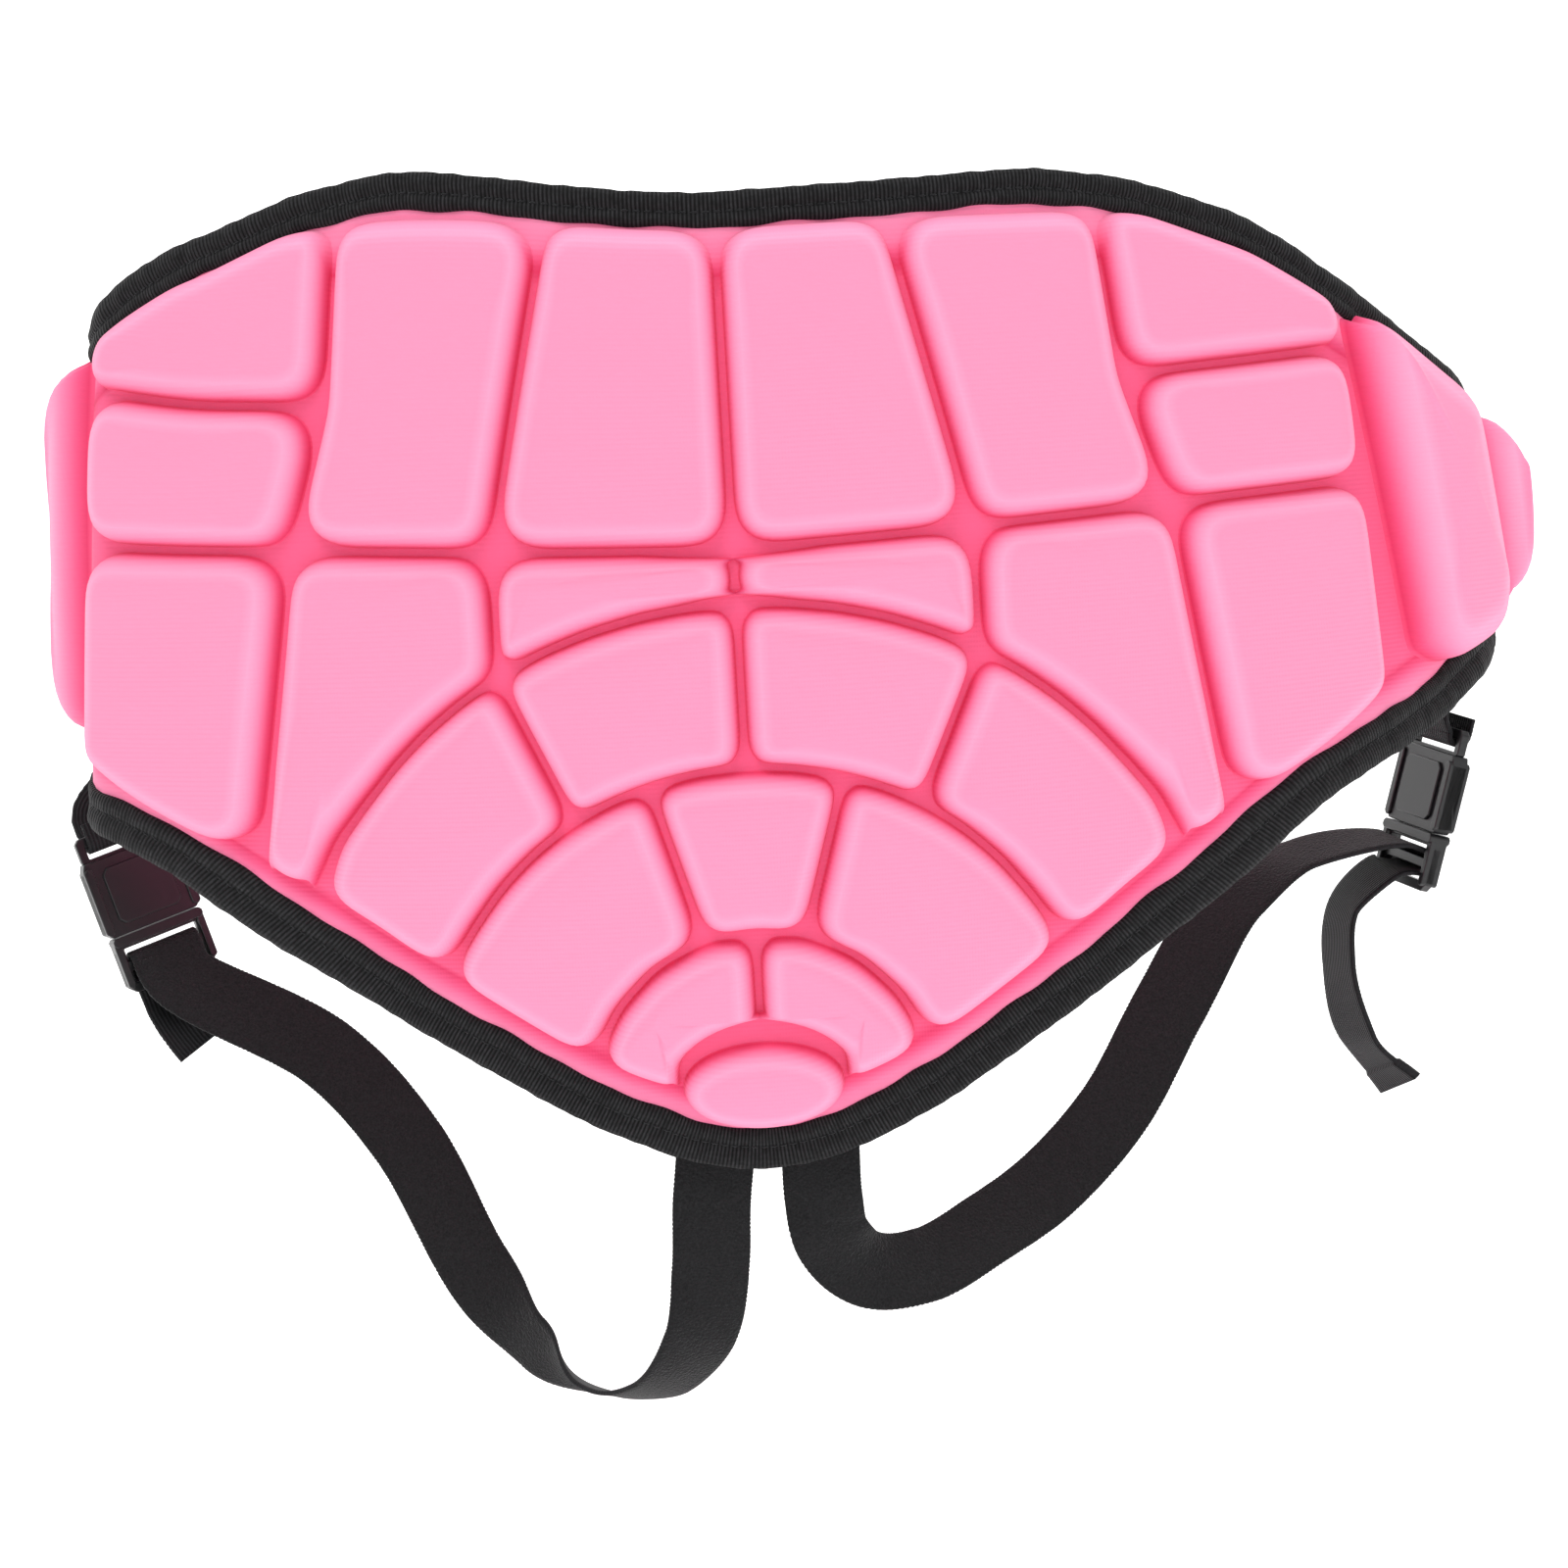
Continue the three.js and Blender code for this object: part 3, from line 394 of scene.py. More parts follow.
def pad_cells():
    c = crossing
    tail = oval(
        TAIL_PAD_WIDTH / 2 + TAIL_GROOVE / 2,
        TAIL_PAD_HEIGHT / 2 + TAIL_GROOVE,
        0,
        TAIL_RING_END,
        TAIL_STEPS,
    )
    names = {
        "upper_inner": ["origin", "waist_inner", "top_inner", "top_centre"],
        "upper_middle": ["waist_inner", "waist_outer", "corner_fork", "top_middle", "top_inner"],
        "upper_corner": [
            "corner_fork",
            "corner_end",
            "top_corner",
            "top_slope",
            "top_outer",
            "top_middle",
        ],
        "side_small": ["waist_outer", "waist_end", "corner_end", "corner_fork"],
        "flank_outer": ["waist_outer", "flank_foot", "flank_end", "waist_end"],
    }
    cells = {name: [c(p) for p in places] for name, places in names.items()}
    cells["arc_wedge"] = [c("origin"), *ring(OUTER_RING, 0, OUTER_CROSS), c("waist_inner")]
    cells["flank_inner"] = [
        c("waist_inner"),
        *ring(OUTER_RING, OUTER_CROSS, RING_END),
        c("outer_ring_foot"),
        c("flank_foot"),
        c("waist_outer"),
    ]
    cells["outer_ring_inner"] = ring(OUTER_RING, OUTER_CROSS, 0) + ring(MIDDLE_RING, 0, MIDDLE_CROSS)
    cells["outer_ring_outer"] = [
        *ring(OUTER_RING, RING_END, OUTER_CROSS),
        *ring(MIDDLE_RING, MIDDLE_CROSS, RING_END),
        c("middle_ring_foot"),
        c("outer_ring_foot"),
    ]
    cells["middle_ring_side"] = [
        *ring(MIDDLE_RING, RING_END, CENTRE_PAD_TOP),
        *ring(INNER_RING, CENTRE_PAD_FOOT, RING_END),
        c("inner_ring_foot"),
        c("middle_ring_foot"),
    ]
    cells["inner_ring"] = [*ring(INNER_RING, RING_END, 0), *tail, c("tail_foot"), c("inner_ring_foot")]
    cells["hip_main"] = [hip_corner(p) for p in HIP_MAIN]
    cells["hip_front"] = [hip_corner(p) for p in HIP_FRONT]
    return cells


def area(outline):
    p = np.array(outline)
    q = np.roll(p, -1, axis=0)
    return float(np.sum(p[:, 0] * q[:, 1] - q[:, 0] * p[:, 1]) / 2)


def inset(outline, distance):
    """Moves each side of a counterclockwise outline inwards and meets the neighbours again."""
    p = np.array(outline, float)
    side = np.roll(p, -1, axis=0) - p
    unit = side / np.linalg.norm(side, axis=1, keepdims=True)
    start = p + np.stack([-unit[:, 1], unit[:, 0]], 1) * distance
    before_start, before = np.roll(start, 1, axis=0), np.roll(unit, 1, axis=0)
    cross = before[:, 0] * unit[:, 1] - before[:, 1] * unit[:, 0]
    gap = start - before_start
    share = (gap[:, 0] * unit[:, 1] - gap[:, 1] * unit[:, 0]) / np.where(np.abs(cross) < 1e-3, 1, cross)
    met = before_start + before * share[:, None]
    return np.where(np.abs(cross)[:, None] < 1e-3, start, met)


def rounded(outline, radius):
    """Rounds the sharp corners of an outline with short curves."""
    points = []
    count = len(outline)
    for i, here in enumerate(outline):
        arrive = here - outline[i - 1]
        leave = outline[(i + 1) % count] - here
        in_length, out_length = np.linalg.norm(arrive), np.linalg.norm(leave)
        a, b = arrive / in_length, leave / out_length
        turn = abs(math.atan2(a[0] * b[1] - a[1] * b[0], float(a @ b)))
        if turn < math.radians(SHARP_TURN):
            points.append(here)
            continue
        back = min(radius * math.tan(turn / 2), in_length * SIDE_SHARE, out_length * SIDE_SHARE)
        for q in np.linspace(0, 1, CORNER_STEPS + 1):
            first, last = here - a * back, here + b * back
            points.append((1 - q) ** 2 * first + 2 * q * (1 - q) * here + q * q * last)
    return np.array(points)


def divided(outline, counts):
    """The same outline with each side cut into its number of equal steps."""
    ahead = np.roll(outline, -1, axis=0)
    pieces = [a + (b - a) * np.arange(n)[:, None] / n for a, b, n in zip(outline, ahead, counts)]
    return np.concatenate(pieces)


def pad_foot(cell, corner_radius):
    """Evenly divided outline of a pad at the foot of its side, counterclockwise."""
    turned = np.array(cell if area(cell) > 0 else cell[::-1], float)
    base = rounded(inset(turned, GROOVE / 2), corner_radius)
    sides = np.linalg.norm(np.roll(base, -1, axis=0) - base, axis=1)
    points = divided(base, np.maximum(1, np.round(sides / PAD_STEP)).astype(int))
    for _ in range(OUTLINE_PASSES):
        points = (np.roll(points, 1, 0) + 2 * points + np.roll(points, -1, 0)) / 4
    return points


# Rise, corner radius and width of the rounding of the two kinds of pad
BACK_PAD = (PAD_RISE, PAD_CORNER, 1)
HIP_PAD = (HIP_PAD_RISE, HIP_CORNER, 2.2)


def pad_shapes():
    """Every pad as its foot, its rise and how wide its rounding is."""
    shapes = []
    for name, cell in pad_cells().items():
        hip = name.startswith("hip")
        rise, corner, spread = HIP_PAD if hip else BACK_PAD
        shapes.append((pad_foot(cell, corner), rise, spread))
        shapes.append((pad_foot([(-x, y) for x, y in cell], corner), rise, spread))
    centre = ring(MIDDLE_RING, CENTRE_PAD_TOP, -CENTRE_PAD_TOP)
    centre = centre + ring(INNER_RING, -CENTRE_PAD_FOOT, CENTRE_PAD_FOOT)
    shapes.append((pad_foot(centre, PAD_CORNER), PAD_RISE, 1))
    tail = np.array(oval(TAIL_PAD_WIDTH / 2, TAIL_PAD_HEIGHT / 2, 0, -356, 89))
    shapes.append((tail, PAD_RISE, 1))
    return shapes


# Profile of a pad: distance inside its foot in millimetres and share of its rise
PAD_PROFILE = [
    (-2.7, -0.05),
    (-2.35, 0.05),
    (-2.05, 0.17),
    (-1.75, 0.31),
    (-1.35, 0.46),
    (-0.7, 0.61),
    (0.3, 0.74),
    (1.7, 0.85),
    (3.6, 0.94),
    (6.0, 1.0),
    (9.0, 1.04),
]
# The rest of the way to the middle, as shares, and the rise still to come there
DOME_SHARES = (0.12, 0.26, 0.42, 0.6, 0.8, 0.97)
DOME = 0.07


def star_centre(outline):
    """The place that looks on every side of an outline from farthest inside it."""
    low, high = outline.min(0), outline.max(0)
    shares = np.linspace(0.1, 0.9, 33)
    places = np.stack(np.meshgrid(*(low[i] + (high - low)[i] * shares for i in (0, 1))), -1)
    places = places.reshape(-1, 2)
    side = np.roll(outline, -1, axis=0) - outline
    side /= np.linalg.norm(side, axis=1, keepdims=True)
    away = places[:, None] - outline[None]
    inside = side[None, :, 0] * away[..., 1] - side[None, :, 1] * away[..., 0]
    if area(outline) < 0:
        inside = -inside
    return places[inside.min(1).argmax()]


def moved_in(points, centre, distance):
    """The outline with each side moved inwards, every point along its line to the centre."""
    ahead = np.roll(points, -1, 0) - np.roll(points, 1, 0)
    ahead /= np.linalg.norm(ahead, axis=1, keepdims=True)
    away = centre - points
    inwards = away[:, 1] * ahead[:, 0] - away[:, 0] * ahead[:, 1]
    reach = np.linalg.norm(away, axis=1)
    share = distance / np.maximum(inwards, reach * 0.3)
    share = np.where(share > 0, 1 - np.exp(-share), share)
    return points + away * share[:, None]


def pad_mesh(foot, rise, spread):
    """Rings of flat points with heights, from the foot of a pad to the middle of its top."""
    if area(foot) < 0:
        foot = foot[::-1]
    centre = star_centre(foot)
    rings = [moved_in(foot, centre, inward * spread) for inward, _ in PAD_PROFILE]
    heights = [share for _, share in PAD_PROFILE]
    last = rings[-1]
    for q in DOME_SHARES:
        rings.append(last + (centre - last) * q)
        heights.append(PAD_PROFILE[-1][1] + DOME * (1 - (1 - q) ** 2))
    flat = np.stack(rings)
    share = np.array(heights)[:, None] + np.zeros(flat.shape[:2])
    return flat, share * rise, share


# Meshes
def make_object(name, points, faces, material, uv=None, lift=None, smooth_faces=True):
    """A mesh object from points in millimetres, riding on the part's body."""
    mesh = bpy.data.meshes.new(name)
    mesh.from_pydata((np.asarray(points) * MM).tolist(), [], [list(map(int, f)) for f in faces])
    mesh.polygons.foreach_set("use_smooth", [smooth_faces] * len(mesh.polygons))
    loops = np.empty(len(mesh.loops), np.int32)
    mesh.loops.foreach_get("vertex_index", loops)
    if uv is not None:
        layer = mesh.uv_layers.new(name="flat")
        layer.data.foreach_set("uv", (np.asarray(uv)[loops] * MM).ravel())
    if lift is not None:
        attribute = mesh.attributes.new("lift", "FLOAT", "POINT")
        attribute.data.foreach_set("value", np.asarray(lift, np.float32).ravel())
    mesh.materials.append(material)
    obj = bpy.data.objects.new(name, mesh)
    bpy.context.scene.collection.objects.link(obj)
    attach(obj, "root")
    return obj


def grid_faces(rows, columns, closed=False, start=0):
    """Quads of a grid of points, its last column joined to the first if closed."""
    last = columns if closed else columns - 1
    i, j = np.meshgrid(np.arange(rows - 1), np.arange(last), indexing="ij")
    k = (j + 1) % columns
    quads = np.stack([i * columns + j, i * columns + k, (i + 1) * columns + k, (i + 1) * columns + j], -1)
    return quads.reshape(-1, 4) + start


# Colour of the foam skin by its share of the pads' rise, from the groove to the crown. Besides the pink of
# the knit it holds painted shade (a deeper pink in the grooves and a dark line at the pads' foot) and a
# painted highlight (a paler band on the pads' shoulders)
SKIN_COLOURS_AND_PAINTED_LIGHT = [
    (0.0, (0.93, 0.13, 0.28)),
    (0.1, (0.80, 0.06, 0.17)),
    (0.28, (0.88, 0.11, 0.26)),
    (0.55, (0.95, 0.22, 0.40)),
    (0.78, (0.97, 0.32, 0.51)),
    (0.9, (0.97, 0.365, 0.56)),
    (1.0, (0.96, 0.305, 0.49)),
]


# Procedural materials
class Surface:
    """A node material with a few short helpers."""

    def __init__(self, name, colour, roughness, sheen=0.0, shine=0.15):
        self.material = bpy.data.materials.new(name)
        self.material.use_nodes = True
        self.tree = self.material.node_tree
        self.shader = self.tree.nodes["Principled BSDF"]
        self.shader.inputs["Base Color"].default_value = (*colour, 1)
        self.shader.inputs["Roughness"].default_value = roughness
        self.shader.inputs["Sheen Weight"].default_value = sheen
        self.shader.inputs["Sheen Roughness"].default_value = 0.4
        self.shader.inputs["Specular IOR Level"].default_value = shine
        self.normal = None

    def node(self, kind, **values):
        made = self.tree.nodes.new(kind)
        for key, value in values.items():
            setattr(made, key, value)
        return made

    def link(self, source, target):
        self.tree.links.new(source, target)

    def maths(self, operation, first, second=None):
        made = self.node("ShaderNodeMath", operation=operation)
        for socket, value in zip(made.inputs, (first, second)):
            if value is None:
                continue
            if isinstance(value, (int, float)):
                socket.default_value = value
            else:
                self.link(value, socket)
        return made.outputs[0]

    def flat(self):
        """The two flat coordinates in metres."""
        uv = self.node("ShaderNodeUVMap", uv_map="flat")
        split = self.node("ShaderNodeSeparateXYZ")
        self.link(uv.outputs[0], split.inputs[0])
        return split.outputs[0], split.outputs[1]

    def ribs(self, coordinate, pitch):
        turns = self.maths("MULTIPLY", coordinate, 2 * math.pi / (pitch * MM))
        return self.maths("MULTIPLY_ADD", self.maths("SINE", turns), 0.5)

    def noise(self, scale, detail=3.0):
        place = self.node("ShaderNodeTexCoord")
        made = self.node("ShaderNodeTexNoise")
        made.inputs["Scale"].default_value = scale
        made.inputs["Detail"].default_value = detail
        self.link(place.outputs["Object"], made.inputs["Vector"])
        return made.outputs["Fac"]

    def bump(self, height, distance, strength=1.0):
        made = self.node("ShaderNodeBump")
        made.inputs["Strength"].default_value = strength
        made.inputs["Distance"].default_value = distance * MM
        self.link(height, made.inputs["Height"])
        if self.normal is not None:
            self.link(self.normal, made.inputs["Normal"])
        self.normal = made.outputs[0]
        self.link(self.normal, self.shader.inputs["Normal"])

    def mix(self, share, low, high):
        made = self.node("ShaderNodeMix", data_type="RGBA")
        made.inputs["A"].default_value = (*low, 1)
        made.inputs["B"].default_value = (*high, 1)
        self.link(share, made.inputs["Factor"])
        return made.outputs["Result"]

    def ramp_colour(self, share, stops):
        made = self.node("ShaderNodeValToRGB")
        elements = made.color_ramp.elements
        while len(elements) < len(stops):
            elements.new(0.5)
        for element, (place, colour) in zip(elements, stops):
            element.position = place
            element.color = (*colour, 1)
        self.link(share, made.inputs["Fac"])
        self.link(made.outputs["Color"], self.shader.inputs["Base Color"])

    def blend_colour(self, share, low, high):
        self.link(self.mix(share, low, high), self.shader.inputs["Base Color"])


def foam_skin():
    skin = Surface("pink_knit", (1, 0.4, 0.6), 0.7, sheen=0.12)
    across, up = skin.flat()
    lift = skin.node("ShaderNodeAttribute", attribute_name="lift").outputs["Fac"]
    # The ramp paints shade into the grooves and at the pads' foot, and a highlight on the pads' shoulders
    skin.ramp_colour(lift, SKIN_COLOURS_AND_PAINTED_LIGHT)
    skin.bump(skin.ribs(up, 1.5), 0.16, 0.55)
    skin.bump(skin.ribs(across, 0.9), 0.05, 0.4)
    skin.bump(skin.noise(900, 2.0), 0.12, 0.3)
    skin.bump(skin.noise(45, 2.0), 0.6, 0.25)
    return skin.material


def tape_cloth():
    tape = Surface("black_tape", (0.014, 0.014, 0.016), 0.7, sheen=0.05)
    along, across = tape.flat()
    ribs = tape.ribs(along, 1.25)
    tape.bump(ribs, 0.3, 1.0)
    tape.bump(tape.ribs(across, 1.6), 0.1, 0.4)
    tape.bump(tape.noise(260, 3.0), 0.5, 0.35)
    share = tape.maths("MULTIPLY", ribs, tape.noise(420, 3.0))
    tape.blend_colour(share, (0.001, 0.001, 0.001), (0.05, 0.05, 0.054))
    return tape.material


def ribbed_webbing():
    cloth = Surface("ribbed_webbing", (0.02, 0.02, 0.022), 0.65, sheen=0.06)
    along, across = cloth.flat()
    cloth.blend_colour(cloth.ribs(across, 1.3), (0.004, 0.004, 0.0045), (0.018, 0.018, 0.02))
    cloth.bump(cloth.ribs(across, 1.3), 0.2, 0.9)
    cloth.bump(cloth.ribs(along, 0.7), 0.1, 0.6)
    return cloth.material


def napped_webbing():
    cloth = Surface("napped_webbing", (0.015, 0.015, 0.016), 0.85, sheen=0.12)
    cloth.blend_colour(cloth.noise(1500, 4.0), (0.001, 0.001, 0.001), (0.03, 0.03, 0.032))
    cloth.bump(cloth.noise(1100, 4.0), 0.9, 0.9)
    return cloth.material


def moulded_plastic():
    plastic = Surface("black_plastic", (0.006, 0.006, 0.007), 0.3, shine=0.5)
    plastic.bump(plastic.noise(1300, 2.0), 0.05, 0.25)
    return plastic.material


def thread():
    return Surface("black_thread", (0.02, 0.02, 0.022), 0.5, sheen=0.1).material


# The padded panel
def foam_sheet():
    """Points, faces, flat places and lift of the foam without its pads."""
    s = np.linspace(-WING_REACH, WING_REACH, int(2 * WING_REACH / SHEET_STEP))
    low, high = bottom_edge(s), top_edge(s)
    share = np.linspace(0, 1, int((TOP_RISE + TIP_DROP) / SHEET_STEP / 1.5))
    t = low[None] + (high - low)[None] * share[:, None]
    s = np.broadcast_to(s[None], t.shape)
    points = np.concatenate([on_panel(s, t, FOAM).reshape(-1, 3), on_panel(s, t, 0).reshape(-1, 3)])
    front = grid_faces(t.shape[0], t.shape[1])
    faces = np.concatenate([front, front[:, ::-1] + t.size])
    flat = np.stack([s.ravel(), t.ravel()], 1)
    lift = np.concatenate([rim_lift(s, t).ravel(), np.full(t.size, 0.7)])
    return points, faces, np.concatenate([flat, flat]), lift


def rim_lift(s, t):
    """The skin is painted paler in a band along the tape, where the painted groove shade is lifted because
    no pads stand close.
    """
    near = np.minimum(t - bottom_edge(s), top_edge(s) - t)
    return RIM_LIFT * (1 - smooth((near - RIM_BAND) / RIM_FADE))


def build_shield(material):
    points, faces, flat, lift = (list(v) for v in foam_sheet())
    for foot, rise, spread in pad_shapes():
        rings, height, share = pad_mesh(foot, rise, spread)
        start = len(points)
        placed_points = on_panel(rings[..., 0], rings[..., 1], FOAM + height)
        rows, columns = height.shape
        points.extend(placed_points.reshape(-1, 3))
        faces.extend(grid_faces(rows, columns, closed=True, start=start))
        faces.append(range(start + (rows - 1) * columns, start + rows * columns))
        flat.extend(rings.reshape(-1, 2))
        # Back pads near the tape also take the paler band, where the painted groove shade is lifted
        rim = rim_lift(rings[..., 0], rings[..., 1]) if rise == PAD_RISE else 0
        lift.extend(np.clip(np.maximum(share, rim), 0, 1.2).ravel())
    obj = make_object("foam_panel", points, faces, material, np.array(flat), np.array(lift))
    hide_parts("padded_shield")
    return obj


# The tape round the edge
def rim_line():
    """Evenly spaced places along the cut edge of the foam, counterclockwise."""
    s = np.linspace(-WING_REACH, WING_REACH, 700)
    near_end = np.sin(np.linspace(-math.pi / 2, math.pi / 2, 200)) * WING_REACH
    s = np.unique(np.round(np.concatenate([s, near_end]), 3))
    bottom = np.stack([s, bottom_edge(s)], 1)
    top = np.stack([s, top_edge(s)], 1)[::-1]
    loop = np.concatenate([bottom, top])
    closed = np.concatenate([loop, loop[:1]])
    steps = np.linalg.norm(np.diff(closed, axis=0), axis=1)
    length = np.concatenate([[0], np.cumsum(steps)])
    count = int(length[-1] / TAPE_STEP)
    at = np.arange(count) * length[-1] / count
    line = np.stack([np.interp(at, length, closed[:, i]) for i in (0, 1)], 1)
    for _ in range(3):
        line = (np.roll(line, 1, 0) + 2 * line + np.roll(line, -1, 0)) / 4
    ahead = np.roll(line, -1, 0) - np.roll(line, 1, 0)
    ahead /= np.linalg.norm(ahead, axis=1, keepdims=True)
    inward = np.stack([-ahead[:, 1], ahead[:, 0]], 1)
    middle_height = (top_edge(line[:, 0]) + bottom_edge(line[:, 0])) / 2
    is_top = smooth((line[:, 1] - middle_height) / 24 + 0.5)
    width = TAPE_BOTTOM + (TAPE_TOP - TAPE_BOTTOM) * is_top
    return line, inward, width, at


def wave(at, lengths, amount, seed):
    """A gentle unevenness along the tape from a few sines of fixed phase."""
    phases = np.random.default_rng(seed).uniform(0, 2 * math.pi, len(lengths))
    total = sum(np.sin(2 * math.pi * at / size + p) for size, p in zip(lengths, phases))
    return amount * total / len(lengths)


# One face of the tape from its inner edge: depth as a share of the width, height, and if it puffs
TAPE_FACE = [
    (1, 0.25, False),
    (0.97, 1.1, True),
    (0.8, 1.75, True),
    (0.62, 1.55, True),
    (0.52, 0.75, False),
    (0.42, 1.5, True),
    (0.22, 1.95, True),
    (0.06, 1.7, True),
]
# The tape's fold round the cut edge: share of its outward reach, and height over the inner face
TAPE_FOLD = [(0.75, FOAM + 1.1), (1, FOAM * 0.8), (1.05, FOAM * 0.45), (1, 0.6), (0.75, -1.1)]
# Unevenness of the tape: lengths of its waves, amount and seed of their phases
INNER_WAVE = ((19, 31, 47), 0.7, 3)
PUFF_WAVE = ((6.8, 11, 23), 0.28, 5)
WAVED_SHARE = 0.9


def build_tape(material, thread_material):
    line, inward, width, at = rim_line()
    inner_wave = wave(at, *INNER_WAVE)
    puff = 1 + wave(at, *PUFF_WAVE)
    section = []
    for share, height, live in TAPE_FACE:
        depth = width * share + (inner_wave if share > WAVED_SHARE else 0)
        section.append((depth, FOAM + height * (puff if live else 1)))
    edge = -TAPE_SKIN * 0.75 * puff
    for share, height in TAPE_FOLD:
        section.append((edge * share, height + 0 * at))
    for share, height, live in TAPE_FACE[::-1]:
        section.append((width * share, -height * (puff if live else 1)))
    rings = []
    for depth, height in section:
        place = line + inward * depth[:, None]
        rings.append(on_panel(place[:, 0], place[:, 1], height))
    points = np.stack(rings, 1)
    rows, columns = points.shape[:2]
    steps = np.linalg.norm(np.diff(points, axis=1, prepend=points[:, :1]), axis=-1)
    across = np.cumsum(steps, axis=1)
    closed = np.concatenate([points, points[:1]])
    flat = np.stack([np.broadcast_to(at[:, None], across.shape), across], -1)
    ending = flat[:1].copy()
    ending[..., 0] = at[-1] + TAPE_STEP
    flat = np.concatenate([flat, ending])
    faces = grid_faces(rows + 1, columns, closed=True)[:, ::-1]
    obj = make_object("edge_tape", closed.reshape(-1, 3), faces, material, flat.reshape(-1, 2))
    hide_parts("edge_binding")
    build_stitches(line, inward, width, at, thread_material)


def stitch_block(centre, ahead, side, out, length, girth):
    """One raised stitch as a small six sided lozenge."""
    points = [centre - ahead * length / 2, centre + ahead * length / 2]
    for share in (-0.22, 0.22):
        middle = centre + ahead * length * share
        points += [middle + side * girth, middle + out * girth, middle - side * girth, middle - out * girth]
    faces = []
    for j in range(4):
        k = (j + 1) % 4
        faces += [(0, 2 + k, 2 + j), (1, 6 + j, 6 + k), (2 + j, 2 + k, 6 + k, 6 + j)]
    return points, faces


def build_stitches(line, inward, width, at, material):
    length = at[-1] + TAPE_STEP
    count = int(length / STITCH_STEP)
    points, faces = [], []
    for i in range(count):
        place = i * length / count
        s = np.interp(place, at, line[:, 0])
        t = np.interp(place, at, line[:, 1])
        n = np.array([np.interp(place, at, inward[:, j]) for j in (0, 1)])
        deep = np.interp(place, at, width) * STITCH_DEPTH
        flat = np.array([s, t]) + n * deep
        along = np.array([n[1], -n[0]])
        ends = [flat - along, flat + along]
        first, last = (on_panel(p[0], p[1], FOAM + STITCH_RISE) for p in ends)
        centre = (first + last) / 2
        ahead = (last - first) / np.linalg.norm(last - first)
        out = on_panel(flat[0], flat[1], FOAM + 2) - on_panel(flat[0], flat[1], FOAM)
        out /= np.linalg.norm(out)
        side = np.cross(out, ahead)
        made, used = stitch_block(centre, ahead, side, out, STITCH_STEP * STITCH_SHARE, STITCH_GIRTH)
        faces += [tuple(v + len(points) for v in f) for f in used]
        points += made
    obj = make_object("edge_stitches", points, faces, material)


# Webbing
def buckle_frame(side):
    """Matrix in millimetres: x across, y up towards the tab, z out of one face."""
    row = BUCKLES[side]
    top, foot = Vector(placed(row["top"])), Vector(placed(row["foot"]))
    down = (foot - top).normalized()
    wide = Vector(row["wide"])
    wide = (wide - down * wide.dot(down)).normalized()
    face = -wide.cross(down).normalized()
    matrix = Matrix((wide, -down, face)).transposed().to_4x4()
    matrix.translation = top
    return matrix


def placed(row):
    across, back, down = row
    return (across * FOLD_REACH, back * WING_REACH, -down * TIP_DROP)


def row_station(row):
    at, wide = row
    return np.array(placed(at)), np.array(wide, float)


def panel_station(s, t, h):
    across = on_panel(s + 1, t, h) - on_panel(s - 1, t, h)
    return on_panel(s, t, h), across / np.linalg.norm(across)


def frame_station(matrix, y, z, flip):
    at = matrix @ Vector((0, y, z))
    across = matrix.to_3x3() @ Vector((flip, 0, 0))
    return np.array(at), np.array(across)


TURN_RADIUS = math.hypot(BAR_WIDTH, BAR_THICKNESS) / 2 + CLEARANCE * 2 + WEBBING / 2


def round_bar(matrix, bar, turn, flip):
    stations = []
    for angle in np.radians(np.linspace(turn[0], turn[1], TURN_STEPS + 1)):
        y = bar + TURN_RADIUS * math.sin(angle)
        stations.append(frame_station(matrix, y, TURN_RADIUS * math.cos(angle), flip))
    return stations


def curve_through(points):
    """Centripetal curve through the stations: a function of the place from 0 to the last index."""
    p = np.array(points)
    p = np.concatenate([[2 * p[0] - p[1]], p, [2 * p[-1] - p[-2]]])
    knots = np.sqrt(np.linalg.norm(np.diff(p, axis=0), axis=1))

    def at(place):
        index = min(int(place), len(points) - 2)
        q = place - index
        p0, p1, p2, p3 = p[index : index + 4]
        d0, d1, d2 = knots[index : index + 3]
        t1 = ((p1 - p0) / d0 - (p2 - p0) / (d0 + d1) + (p2 - p1) / d1) * d1
        t2 = ((p2 - p1) / d1 - (p3 - p1) / (d1 + d2) + (p3 - p2) / d2) * d1
        c2 = -3 * p1 + 3 * p2 - 2 * t1 - t2
        c3 = 2 * p1 - 2 * p2 + t1 + t2
        value = p1 + t1 * q + c2 * q * q + c3 * q**3
        tangent = t1 + 2 * c2 * q + 3 * c3 * q * q
        return value, tangent / np.linalg.norm(tangent)

    return at


# Woven edge and turned end of the webbing
TOOTH = 0.28
TOOTH_PITCH = 1.5
TOOTH_INSET = 0.15
SELVEDGE = 0.45
HEM_GAIN = 1.9
HEM_LENGTH = 9


